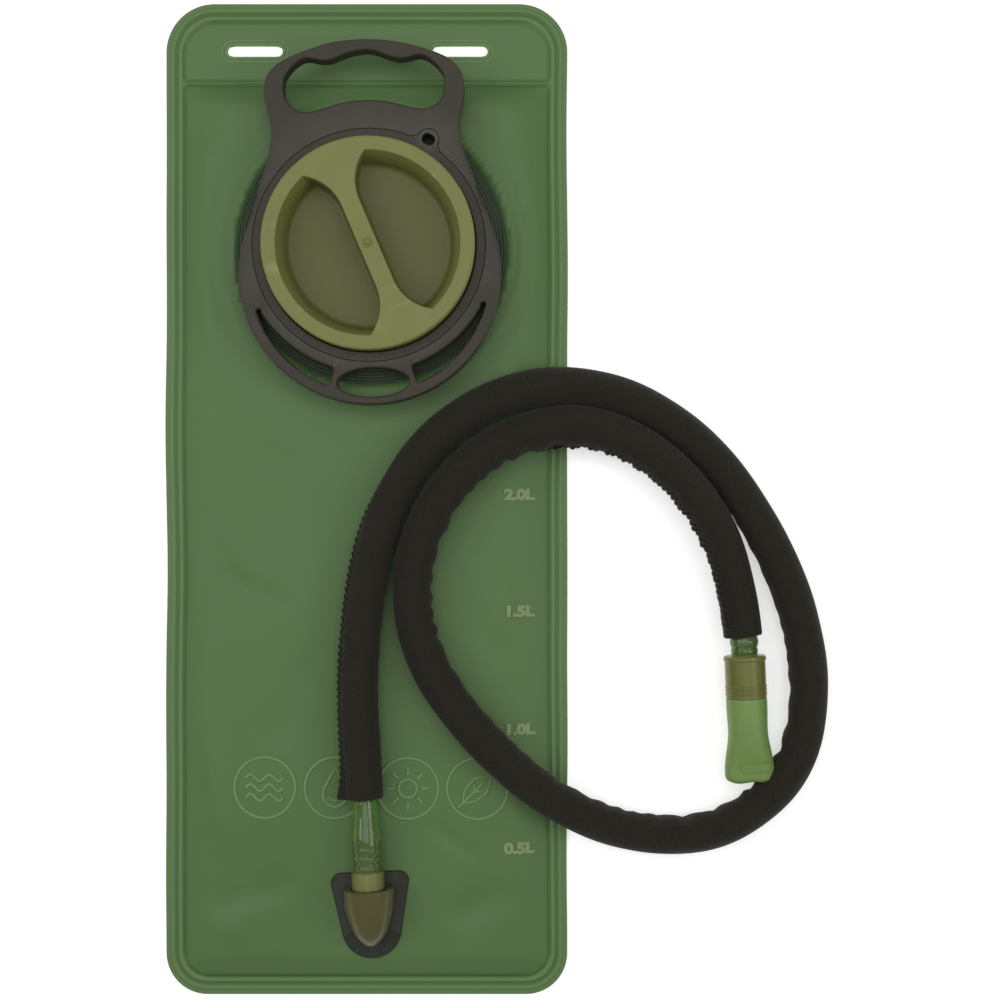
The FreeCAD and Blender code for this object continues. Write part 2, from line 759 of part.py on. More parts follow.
# ---------------------------------------------------------------- outlet
def outlet_spot(along, height=0.0):
    """World place of a point on the outlet's axis."""
    angle = math.radians(number("outlet_turn"))
    return Vector(number("outlet_x") - along * math.sin(angle),
                  number("outlet_y") + along * math.cos(angle), height)


def at_outlet(name):
    return new_body(name, dim("outlet_x"), dim("outlet_y"), dim("outlet_z"), dim("outlet_turn"))


def shield_edges():
    """Flange outline: two small top corners and one large round end."""
    wide, corner = number("flange_half"), number("flange_corner")
    end, end_y = number("flange_end"), -number("flange_end_from")
    top = number("flange_above")
    centre = (wide - corner, top - corner)
    dx, dy = centre[0], centre[1] - end_y
    gap = math.hypot(dx, dy)
    tilt = math.degrees(math.atan2(dy, dx))
    spread = math.degrees(math.acos((end - corner) / gap))
    normal = tilt - spread
    right_top = (centre[0] + polar(corner, normal)[0], centre[1] + polar(corner, normal)[1])
    right_low = (polar(end, normal)[0], end_y + polar(end, normal)[1])
    return [arc(centre, corner, normal, 90),
            line((centre[0], top), (-centre[0], top)),
            arc((-centre[0], centre[1]), corner, 90, 180 - normal),
            line((-right_top[0], right_top[1]), (-right_low[0], right_low[1])),
            arc((0, end_y), end, 180 - normal, 360 + normal),
            line(right_low, right_top)]


def make_outlet_flange():
    body = at_outlet("outlet_flange")
    low = dim("bag_puff") - dim("outlet_z")
    pad(body, drawn(body, "XY_Plane", shield_edges(), low), dim("outlet_plate"))
    spot = -number("dome_length") / 2
    hole = [circle(0, spot, number("throat"))]
    cut(body, drawn(body, "XY_Plane", hole, low), dim("outlet_plate"), Reversed=True)
    top = low.number + number("outlet_plate") + number("outlet_z")
    round_edges(body, 0.6, lambda edge: flat_at(edge, top) and edge.Length > 25
                or flat_at(edge, top) and corner_arc(edge))
    return body


def corner_arc(edge):
    return isinstance(edge.Curve, Part.Circle) and abs(edge.Curve.Radius - number("flange_corner")) < 0.1


def dome_edges(sides):
    """Plan of the dome: a whole bullet, or its right half closed along the axis."""
    radius, length = number("dome_radius"), number("dome_length")
    steps = [math.radians(angle) for angle in (0, 20, 40, 60, 75, 90)]
    right = [(radius * math.cos(step), -length * math.sin(step)) for step in steps]
    curve = smooth(right, (0, -1), (-1, 0))
    if sides == 1:
        return [curve, line((0, -length), (0, 0)), line((0, 0), (radius, 0))]
    left = [(-x, y) for x, y in reversed(right)]
    return [curve, smooth(left, (-1, 0), (0, 1)), line((-radius, 0), (radius, 0))]


def make_outlet_body():
    body = at_outlet("outlet_body")
    low = dim("bag_puff") + dim("outlet_plate") - dim("outlet_z")
    pad(body, drawn(body, "XY_Plane", dome_edges(2), low), -low)
    half = drawn(body, "XY_Plane", dome_edges(1))
    feature(body, "Revolution", half, ReferenceAxis=(half, ["V_Axis"]), Angle=180.0,
            Reversed=False)
    if body.Shape.BoundBox.ZMax < number("outlet_z") + 1:
        body.Tip.Reversed = True
        doc.recompute()
    bore = dim("spigot") + dim("spigot_gap")
    seat = dim("spigot_length") + 0.3
    chamber_end = 0 - (dim("dome_length") - 6.0)
    recess = dim("plug_collar") + 0.5
    points = [(0, 0.5), (recess, 0.5), (recess, -dim("mouth_recess")),
              (bore, -dim("mouth_recess")), (bore, -seat), (dim("throat"), -seat),
              (dim("throat"), -seat - 1.0), (dim("chamber"), -seat - 1.0),
              (dim("chamber"), chamber_end), (0, chamber_end)]
    before = body.Shape.Volume
    way = outline(body, "XY_Plane", points)
    feature(body, "Groove", way, ReferenceAxis=(way, ["V_Axis"]), Angle=360.0)
    if body.Shape.Volume >= before:
        raise RuntimeError("outlet bore cuts nothing")
    spot = -number("dome_length") / 2
    hole = drawn(body, "XY_Plane", [circle(0, spot, number("throat"))], low)
    cut(body, hole, -low, Reversed=True)
    return body


def make_poppet_parts():
    """Shut-off poppet with its seal and spring, shown pushed open by the plug."""
    seat = -(dim("spigot_length") + 1.3)
    head = dim("chamber") - dim("poppet_gap")
    stem = 1.2
    front = seat - dim("poppet_lift") - dim("seal_gap")
    back = front - 2.0
    poppet = at_outlet("outlet_poppet")
    points = [(0, back), (head, back), (head, front - 0.8), (stem, front - 0.8),
              (stem, -dim("spigot_length") - 0.05), (0, -dim("spigot_length") - 0.05)]
    revolve(poppet, outline(poppet, "XY_Plane", points))
    seal = at_outlet("poppet_seal")
    points = [(stem, front - 0.8), (head, front - 0.8), (head, front), (stem, front)]
    revolve(seal, outline(seal, "XY_Plane", points))
    spring = at_outlet("poppet_spring")
    chamber_end = -(dim("dome_length") - 6.0)
    wire = 0.3
    room = back - chamber_end - 2 * wire - 0.1
    coil = spring.newObject("Sketcher::SketchObject", "spring_sketch")
    plane = next(item for item in spring.Origin.OriginFeatures if item.Role == "XY_Plane")
    coil.AttachmentSupport = [(plane, "")]
    coil.MapMode = "FlatFace"
    coil.addGeometry(circle(head.number - 0.6, (chamber_end + wire + 0.05).number, wire), False)
    turns = spring.newObject("PartDesign::AdditiveHelix", "spring_coil")
    turns.Profile = coil
    turns.ReferenceAxis = (coil, ["V_Axis"])
    turns.Mode = 0
    turns.setExpression("Pitch", (room / 3).text)
    turns.setExpression("Height", room.text)
    doc.recompute()
    return [poppet, seal, spring]


def barb_points(start, way, face):
    """Stepped barbs along an axis from start, in direction way, for an inner bore's wall."""
    root = dim("tube_bore") - 0.05
    points = []
    for index in range(int(number("barb_count"))):
        near = start + way * (dim("barb_pitch") * index + 2.0)
        far = start + way * (dim("barb_pitch") * (index + 1) + 0.5)
        points += [(root, near), (dim("barb"), near), (root + 0.2, far)]
    return points + [(face, start + way * (dim("barb_pitch") * dim("barb_count") + 2.0))]


def make_plug_parts():
    body = at_outlet("tube_plug")
    spigot, length = dim("spigot"), dim("spigot_length")
    groove = dim("ring_wire")
    collar_end = dim("plug_collar_length")
    bore = dim("fitting_bore")
    ring_y = 0 - length / 2 - 0.6
    points = [(bore, -length), (spigot - 0.4, -length), (spigot, -length + 0.4),
              (spigot, ring_y - groove), (spigot - groove, ring_y - groove),
              (spigot - groove, ring_y + groove), (spigot, ring_y + groove), (spigot, 0.05),
              (dim("plug_collar"), 0.05), (dim("plug_collar"), collar_end)]
    points += barb_points(collar_end, 1, bore)
    revolve(body, outline(body, "XY_Plane", points))
    flute = new_sketch(body, "XZ_Plane", -dim("plug_collar_length") - 0.01)
    count = 14
    for index in range(count):
        spot = polar(number("plug_collar") + 0.25, 360 * index / count)
        flute.addGeometry(circle(spot[0], spot[1], 0.55), False)
    before = body.Shape.Volume
    feature(body, "Pocket", flute, Length=dim("plug_collar_length") - 0.6)
    if body.Shape.Volume >= before:
        body.Tip.Reversed = True
        doc.recompute()
    bar = new_sketch(body, "XZ_Plane", dim("spigot_length"))
    half = bore.number + 0.3
    for edge in rounded_box(-half, half, -0.6, 0.6, 0.2, 0.2):
        bar.addGeometry(edge, False)
    feature(body, "Pad", bar, Length=as_dim(1.5), Reversed=True)
    ring = at_outlet("plug_oring")
    wire = dim("ring_wire") / 2
    sketch = disc(ring, "XY_Plane", wire, None, spigot - dim("ring_wire") + wire, ring_y)
    revolve(ring, sketch)
    return [body, ring]


# ---------------------------------------------------------------- hose
def route_wire(points, show=True):
    """Straight runs joined by tangent arcs, each as large as its two runs allow."""
    spots = [Vector(*point) for point in points]
    edges, radii = [], []
    last = spots[0]
    for before, here, after in zip(spots, spots[1:], spots[2:]):
        back, ahead = (before - here), (after - here)
        shorter = min(back.Length, ahead.Length)
        back.normalize()
        ahead.normalize()
        turn = math.pi - back.getAngle(ahead)
        reach = 0.45 * shorter
        radii.append(reach / math.tan(turn / 2))
        start, end = here + back * reach, here + ahead * reach
        inward = back + ahead
        inward.normalize()
        depth = radii[-1] / math.cos(turn / 2) - radii[-1]
        edges.append(Part.LineSegment(last, start).toShape())
        edges.append(Part.Arc(start, here + inward * depth, end).toShape())
        last = end
    edges.append(Part.LineSegment(last, spots[-1]).toShape())
    if show:
        print("hose radii", [round(radius) for radius in radii])
    return Part.Wire(edges)


def swept(wire, radius):
    """A round bar of the given radius along a wire."""
    edge = wire.Edges[0]
    start, way = edge.valueAt(edge.FirstParameter), edge.tangentAt(edge.FirstParameter)
    ring = Part.Wire([Part.Circle(start, way, radius).toShape()])
    return wire.makePipeShell([ring], True, False)


def hose_piece(name, points, outer, inner):
    """A hollow tube along the route; its volume has to match its section and length."""
    wire = route_wire(points, name == "drinking_tube")
    shape = swept(wire, outer).cut(swept(wire, inner))
    wanted = math.pi * (outer ** 2 - inner ** 2) * wire.Length
    print(name, "length", round(wire.Length, 1), "volume ratio", round(shape.Volume / wanted, 4))
    item = doc.addObject("Part::Feature", name)
    item.Label = name
    item.Shape = shape
    item.Placement = Placement()
    return item


def tucked(index, x, y):
    """Place of a route point, moved in where the second turn lies beside the first."""
    if index not in SECOND_TURN:
        return x, y
    across, up = LOOP_MIDDLE[0] - x, LOOP_MIDDLE[1] - y
    share = TUCK * (number("sleeve_radius") - ROUTE_SLEEVE) / math.hypot(across, up)
    return x + across * share, y + up * share


def dropped(y):
    """How far a route point moves down to stay clear of the handle's ring."""
    ring_low = half_length - number("neck_from_top")
    ring_low = ring_low - number("handle_ring") - number("handle_ring_drop")
    share = min(max((y - DROP_FADES) / -DROP_FADES, 0.0), 1.0)
    return max(ROUTE_RING_LOW - ring_low, 0.0) * share


def laid_route():
    """The hose's line, moved out with the bag's edge and up with the sleeve and the outlet."""
    out = half_width - ROUTE_HALF_WIDTH
    floor_lift = number("sleeve_radius") - ROUTE_SLEEVE
    bag_lift = number("outlet_z") - ROUTE_OUTLET
    points = []
    for index, (x, y, z) in enumerate(HOSE_ROUTE):
        across, up = tucked(index, x, y)
        lift = bag_lift if z > OVER_BAG else floor_lift
        points.append((across + (out if x > LOOP_FROM else 0.0), up - dropped(y), z + lift))
    points[-1] = (points[-1][0], HOSE_ROUTE[-1][1], number("valve_z"))
    return points


def make_hose():
    points = laid_route()
    tube = hose_piece("drinking_tube", points, number("tube_radius"), number("tube_bore"))
    first, second = Vector(*points[0]), Vector(*points[1])
    start = first + (second - first).normalize() * number("sleeve_start")
    last, before = Vector(*points[-1]), Vector(*points[-2])
    end = last + (before - last).normalize() * number("sleeve_end")
    inside = number("sleeve_radius") - number("sleeve_wall")
    route = [tuple(start)] + points[1:-1] + [tuple(end)]
    return [tube, hose_piece("insulation_sleeve", route, number("sleeve_radius"), inside)]


# ---------------------------------------------------------------- bite valve
def at_valve(name):
    return new_body(name, dim("valve_x"), dim("valve_y"), dim("valve_z"), dim("valve_turn"))


def make_valve_parts():
    """Everything past the tube's end; the mouth points along local -Y."""
    start = -2.0
    barrel_end = start - dim("barrel_length")
    bore = dim("fitting_bore")
    wire = dim("ring_wire")
    ring_y = start - dim("barrel_length") / 2
    inner = dim("barrel")
    body = at_valve("valve_barrel")
    nose_end = barrel_end - dim("nose_length")
    points = [(bore, nose_end), (dim("nose"), nose_end), (dim("nose"), barrel_end),
              (inner, barrel_end), (inner, ring_y - wire), (inner - wire, ring_y - wire),
              (inner - wire, ring_y + wire), (inner, ring_y + wire), (inner, as_dim(start))]
    points += barb_points(as_dim(start), 1, bore)
    revolve(body, outline(body, "XY_Plane", points))

    ring = at_valve("valve_oring")
    revolve(ring, disc(ring, "XY_Plane", wire / 2, None, inner - wire / 2, ring_y))

    lock = at_valve("valve_lock_ring")
    hole = inner + dim("lock_gap")
    outer = dim("lock_radius")
    lock_end = start - 0.2 - dim("lock_length")
    points = [(hole, as_dim(start) - 0.2), (outer - 0.6, as_dim(start) - 0.2),
              (outer, as_dim(start) - 0.8), (outer, as_dim(start) - 2.0),
              (outer - 0.4, as_dim(start) - 2.4)]
    for index in range(3):
        ridge = lock_end + 1.0 + (2 - index) * 1.6
        points += [(outer - 0.4, ridge + 0.9), (outer - 0.1, ridge + 0.6),
                   (outer - 0.1, ridge + 0.2), (outer - 0.4, ridge)]
    points += [(outer - 0.4, lock_end), (hole, lock_end)]
    revolve(lock, outline(lock, "XY_Plane", points))

    stem = at_valve("valve_stem")
    tip = nose_end - 9.0
    points = [(0, tip), (2.0, tip), (3.4, nose_end - 4.0), (3.4, nose_end - 0.3),
              (bore - 0.3, nose_end - 0.3), (bore - 0.3, nose_end + 5.0), (0, nose_end + 5.0)]
    revolve(stem, outline(stem, "XY_Plane", points))

    bite = at_valve("bite_sleeve")
    mouth = lock_end - 0.1 - dim("bite_length")
    top = lock_end - 0.1
    inside = dim("nose") + 0.1
    points = [(inside, top), (dim("bite_waist") + 0.2, top),
              (dim("bite_waist"), top - 10.0), (dim("bite_waist"), top - 18.0),
              (dim("bite_flare") - 0.2, mouth + 9.0), (dim("bite_flare"), mouth + 5.0),
              (dim("bite_flare") - 0.8, mouth + 1.5), (dim("bite_flare") - 3.0, mouth),
              (0, mouth), (0, mouth + 3.0), (inside, mouth + 8.0)]
    revolve(bite, outline(bite, "XY_Plane", points))
    return [body, ring, lock, stem, bite]


# ---------------------------------------------------------------- build and write
def main():
    pieces = [make_front_panel(), make_back_panel(), make_fill_port(), make_port_collar(),
              make_handle_frame(), make_screw_cap(), make_cap_gasket(), make_outlet_flange(),
              make_outlet_body()]
    pieces += make_poppet_parts() + make_plug_parts() + make_hose() + make_valve_parts()
    doc.recompute()
    failed = [item.Name for item in doc.Objects
              if "Invalid" in item.State or "Error" in item.State]
    if failed:
        raise RuntimeError(f"these objects failed: {failed}")
    for piece in pieces:
        shape = piece.Shape
        if shape.isNull() or not shape.isValid() or len(shape.Solids) != 1:
            raise RuntimeError(f"{piece.Label} has no single valid solid")
    os.makedirs("parts", exist_ok=True)
    for piece in pieces:
        piece.Shape.exportStep(f"parts/{piece.Label}.step")
        box = piece.Shape.BoundBox
        print(f"{piece.Label:18s} z {box.ZMin:6.1f} to {box.ZMax:6.1f}, "
              f"volume {piece.Shape.Volume:10.0f}")


main()
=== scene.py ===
"""Looks of a hydration bladder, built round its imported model.

Every length is in metres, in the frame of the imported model: +Z up out of the bag's face,
+Y towards the hanging tab, +X towards the loose hose.
"""

import logging
import math
from dataclasses import dataclass
from enum import Enum
from typing import Iterable, Sequence

import bmesh
import bpy
from mathutils import Matrix, Vector, kdtree, noise


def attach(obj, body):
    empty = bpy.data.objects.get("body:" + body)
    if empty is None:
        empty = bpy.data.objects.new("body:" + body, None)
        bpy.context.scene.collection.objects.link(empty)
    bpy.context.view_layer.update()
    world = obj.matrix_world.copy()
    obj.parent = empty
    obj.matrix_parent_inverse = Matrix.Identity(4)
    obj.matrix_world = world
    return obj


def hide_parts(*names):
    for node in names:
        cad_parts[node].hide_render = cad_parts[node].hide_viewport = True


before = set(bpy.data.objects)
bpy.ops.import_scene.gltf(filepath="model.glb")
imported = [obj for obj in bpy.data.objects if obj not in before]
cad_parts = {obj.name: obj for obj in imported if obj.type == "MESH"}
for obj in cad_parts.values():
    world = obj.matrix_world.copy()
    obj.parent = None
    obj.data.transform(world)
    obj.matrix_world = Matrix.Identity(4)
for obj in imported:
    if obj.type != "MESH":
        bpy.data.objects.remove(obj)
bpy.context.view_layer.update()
MM = 0.001
LOG = logging.getLogger("bladder")

# Free line of the hose, from the plug to the bite valve, the same points as the model's.
HOSE_ROUTE_MM = [
    (1.5, -155.0, 15.7), (-0.1, -118.0, 15.7), (-3.0, -79.0, 15.7), (0.0, -40.0, 15.7),
    (8.7, -2.8, 15.7), (30.7, 28.9, 15.7), (65.0, 47.5, 17.0), (104.1, 46.6, 8.5),
    (138.6, 26.6, 8.5), (162.8, -4.3, 8.5), (180.0, -39.0, 8.5), (188.0, -77.0, 8.5),
    (181.0, -116.0, 8.5), (149.0, -141.0, 8.5), (111.0, -141.0, 8.5), (76.0, -125.0, 17.0),
    (45.0, -97.0, 15.7), (23.1, -65.7, 15.7), (18.1, -28.2, 16.7), (33.8, 7.3, 17.9),
    (66.4, 30.1, 18.0), (104.6, 29.8, 12.8), (136.3, 7.1, 15.5), (156.0, -29.0, 10.7),
    (159.0, -65.2, 10.6),
]
TUBE_DIAMETER = 0.0095
FLOOR_GAP = 0.0002
NECK = (0.0023, 0.105)


class Body(Enum):
    """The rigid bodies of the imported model."""

    ROOT = "root"
    CAP = "cap"
    SEAL = "cap_seal"
    HOSE = "hose"
    VALVE = "bite_valve"
    POPPET = "poppet"


class Side(Enum):
    """Which side of the hose, looking along it from the plug."""

    LEFT = 180.0
    UNDER = 270.0
    RIGHT = 360.0


# ------------------------------------------------------------------ small tools
def smoothstep(low: float, high: float, value: float) -> float:
    """Return 0 below low, 1 above high and a smooth ramp between."""
    share = min(1.0, max(0.0, (value - low) / (high - low)))
    return share * share * (3.0 - 2.0 * share)


def place(piece: bpy.types.Object, body: Body) -> bpy.types.Object:
    """Let a piece ride on a body.

    Args:
        piece: the finished object.
        body: the body that it moves with.

    Returns:
        The same piece.
    """
    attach(piece, body.value)
    LOG.info("%s rides on %s", piece.name, body.value)
    return piece


def link(thing: bpy.types.Object) -> bpy.types.Object:
    """Put an object into the scene and return it."""
    bpy.context.scene.collection.objects.link(thing)
    return thing


def make_object(name: str, bm: bmesh.types.BMesh, material: bpy.types.Material,
                smooth: bool = True) -> bpy.types.Object:
    """Turn a bmesh into an object at the origin.

    Args:
        name: name of the piece.
        bm: the mesh, freed here.
        material: its finish.
        smooth: whether its faces are shaded smooth.

    Returns:
        The new object.
    """
    mesh = bpy.data.meshes.new(name)
    for face in bm.faces:
        face.smooth = smooth
    bm.to_mesh(mesh)
    bm.free()
    mesh.materials.append(material)
    return link(bpy.data.objects.new(name, mesh))


def join_meshes(parts: Iterable[bmesh.types.BMesh]) -> bmesh.types.BMesh:
    """Put several bmeshes into one and free them."""
    whole = bmesh.new()
    for part in parts:
        mesh = bpy.data.meshes.new("part")
        part.to_mesh(mesh)
        part.free()
        whole.from_mesh(mesh)
        bpy.data.meshes.remove(mesh)
    return whole


def spin_profile(points: Sequence[tuple[float, float]], steps: int = 64) -> bmesh.types.BMesh:
    """Spin a profile of (radius, along) pairs a full turn about the Y axis.

    Args:
        points: corners from one end to the other; the loop isn't closed.
        steps: how many faces go round.

    Returns:
        The spun mesh, with poles merged and normals outwards.
    """
    bm = bmesh.new()
    verts = [bm.verts.new((radius, along, 0.0)) for radius, along in points]
    edges = [bm.edges.new(pair) for pair in zip(verts, verts[1:])]
    bmesh.ops.spin(bm, geom=verts + edges, cent=(0, 0, 0), axis=(0, 1, 0),
                   angle=math.tau, steps=steps, use_merge=True)
    bmesh.ops.remove_doubles(bm, verts=bm.verts, dist=1e-6)
    bmesh.ops.recalc_face_normals(bm, faces=bm.faces)
    return bm


def rounded(points: Sequence[tuple[float, float]], radius: float,
            steps: int = 4) -> list[tuple[float, float]]:
    """Round the inner corners of a profile with short arcs.

    Args:
        points: corners of the profile.
        radius: how far from a corner its rounding starts, at most.
        steps: points in each rounding.

    Returns:
        The finer profile.
    """
    result = [points[0]]
    for before, here, after in zip(points, points[1:], points[2:]):
        corner = Vector(here)
        back, ahead = Vector(before) - corner, Vector(after) - corner
        reach = min(radius, back.length * 0.45, ahead.length * 0.45)
        start, end = corner + back.normalized() * reach, corner + ahead.normalized() * reach
        for step in range(steps + 1):
            share = step / steps
            point = start.lerp(corner, share).lerp(corner.lerp(end, share), share)
            result.append((point.x, point.y))
    return result + [points[-1]]


def curve_mesh(curve: bpy.types.Curve) -> bpy.types.Mesh:
    """Evaluate a curve as Blender does and return it as a new mesh."""
    helper = link(bpy.data.objects.new("helper", curve))
    graph = bpy.context.evaluated_depsgraph_get()
    mesh = bpy.data.meshes.new_from_object(helper.evaluated_get(graph))
    bpy.data.objects.remove(helper)
    return mesh


def curve_bmesh(curve: bpy.types.Curve) -> bmesh.types.BMesh:
    """Evaluate a curve into a new bmesh."""
    mesh = curve_mesh(curve)
    bm = bmesh.new()
    bm.from_mesh(mesh)
    bpy.data.meshes.remove(mesh)
    return bm


def sweep_line(points: Sequence[Vector], radius: float, closed: bool,
               sides: int = 2) -> bmesh.types.BMesh:
    """Sweep a round bead along points.

    Args:
        points: the bead's centre line.
        radius: radius of the bead.
        closed: whether the line closes on itself.
        sides: the bevel resolution.

    Returns:
        The bead as a bmesh.
    """
    curve = bpy.data.curves.new("bead", "CURVE")
    curve.dimensions = "3D"
    spline = curve.splines.new("POLY")
    spline.points.add(len(points) - 1)
    for spot, point in zip(spline.points, points):
        spot.co = (*point, 1.0)
    spline.use_cyclic_u = closed
    curve.bevel_depth = radius
    curve.bevel_resolution = sides
    curve.use_fill_caps = not closed
    bm = curve_bmesh(curve)
    bpy.data.curves.remove(curve)
    bmesh.ops.recalc_face_normals(bm, faces=bm.faces)
    return bm


# ------------------------------------------------------------------ finishes
COAT_ROUGHNESS, SHEEN_ROUGHNESS, IOR = 0.12, 0.4, 1.48
SKIN_DEPTHS = (0.002, 0.004, 0.0015)
ROUGHNESS_SWING = 0.06
# How the film's tint attribute, with its painted highlights and shade, is offset and broken up by
# the cloud.
TINT_LOWER, TINT_CLOUD = 0.17, 0.35
# Painted shade in the cap's wells: the height over which it fades in, and the share of the dark
# colour that it keeps.
WELL_SHADE_FADE, WELL_SHADE_FACTOR = 0.008, 0.62
KNIT_GAIN, KNIT_LIFT = 1.1, 0.35


class Graph:
    """Nodes and links of one material or one group."""

    def __init__(self, tree: bpy.types.NodeTree) -> None:
        """Take hold of the tree."""
        self.nodes, self.links = tree.nodes, tree.links

    def feed(self, node: bpy.types.Node, feeds: dict[str | int, object]) -> None:
        """Link each input that is given a socket, and set every other one."""
        for key, value in feeds.items():
            if isinstance(value, bpy.types.NodeSocket):
                self.links.new(value, node.inputs[key])
            else:
                node.inputs[key].default_value = value

    def add(self, kind: str, feeds: dict[str | int, object] | None = None,
            out: str | None = None, **settings: object) -> bpy.types.Node | bpy.types.NodeSocket:
        """Add a shader node.

        Args:
            kind: its type, without the first word that all share.
            feeds: sockets or values for its inputs, by name or number.
            out: the output to return.
            settings: its attributes, set before its inputs.

        Returns:
            The output that is asked for, or else the node.
        """
        node = self.nodes.new("ShaderNode" + kind)
        for key, value in settings.items():
            setattr(node, key, value)
        self.feed(node, feeds or {})
        return node.outputs[out] if out else node


def new_group(name: str, inputs: dict[str, float], outputs: Sequence[str]) -> bpy.types.NodeTree:
    """Start a shader node group of floats.

    Args:
        name: name of the group.
        inputs: inputs and their usual values.
        outputs: names of the outputs.

    Returns:
        The group, with its input and output nodes in place.
    """
    group = bpy.data.node_groups.new(name, "ShaderNodeTree")
    for label, value in inputs.items():
        socket = group.interface.new_socket(label, in_out="INPUT", socket_type="NodeSocketFloat")
        socket.default_value = value
    for label in outputs:
        group.interface.new_socket(label, in_out="OUTPUT", socket_type="NodeSocketFloat")
    group.nodes.new("NodeGroupInput").name = "in"
    group.nodes.new("NodeGroupOutput").name = "out"
    return group


def grain_group() -> bpy.types.NodeTree:
    """Moulded grain: a fine height and a soft cloud that shades the colour."""
    group = new_group("moulded_grain", {"Fine Scale": 2500.0, "Cloud Scale": 40.0},
                      ("Height", "Cloud"))
    graph = Graph(group)
    spot = graph.add("TexCoord", out="Object")
    for label, socket, detail in (("Height", "Fine Scale", 2.0), ("Cloud", "Cloud Scale", 4.0)):
        scale = group.nodes["in"].outputs[socket]
        noisy = graph.add("TexNoise", {"Detail": detail, "Vector": spot, "Scale": scale}, "Fac")
        graph.feed(group.nodes["out"], {label: noisy})
    return group


def wear_and_highlight_group() -> bpy.types.NodeTree:
    """Edge wear and painted highlight: a mask that is high on sharp outer edges, which are
    lightened partly as wear and partly as painted highlight.
    """
    group = new_group("edge_wear_and_highlight", {"Start": 0.52, "End": 0.62}, ("Mask",))
    graph = Graph(group)
    given = group.nodes["in"].outputs
    sharp = graph.add("NewGeometry", out="Pointiness")
    mask = graph.add("MapRange", {"Value": sharp, "From Min": given["Start"],
                                  "From Max": given["End"]}, "Result")
    graph.feed(group.nodes["out"], {"Mask": mask})
    return group


def knit_group() -> bpy.types.NodeTree:
    """Knit face: small rows of loops on the piece's own UV map, in metres."""
    group = new_group("knit_face", {"Rows": 430.0}, ("Height",))
    graph = Graph(group)
    feeds = {"Distortion": 1.5, "Detail": 1.0, "Vector": graph.add("TexCoord", out="UV"),
             "Scale": group.nodes["in"].outputs["Rows"]}
    across, along = (graph.add("TexWave", feeds, "Fac", bands_direction=way) for way in "XY")
    height = graph.add("Math", {0: across, 1: along}, "Value", operation="MULTIPLY")
    graph.feed(group.nodes["out"], {"Height": height})
    return group


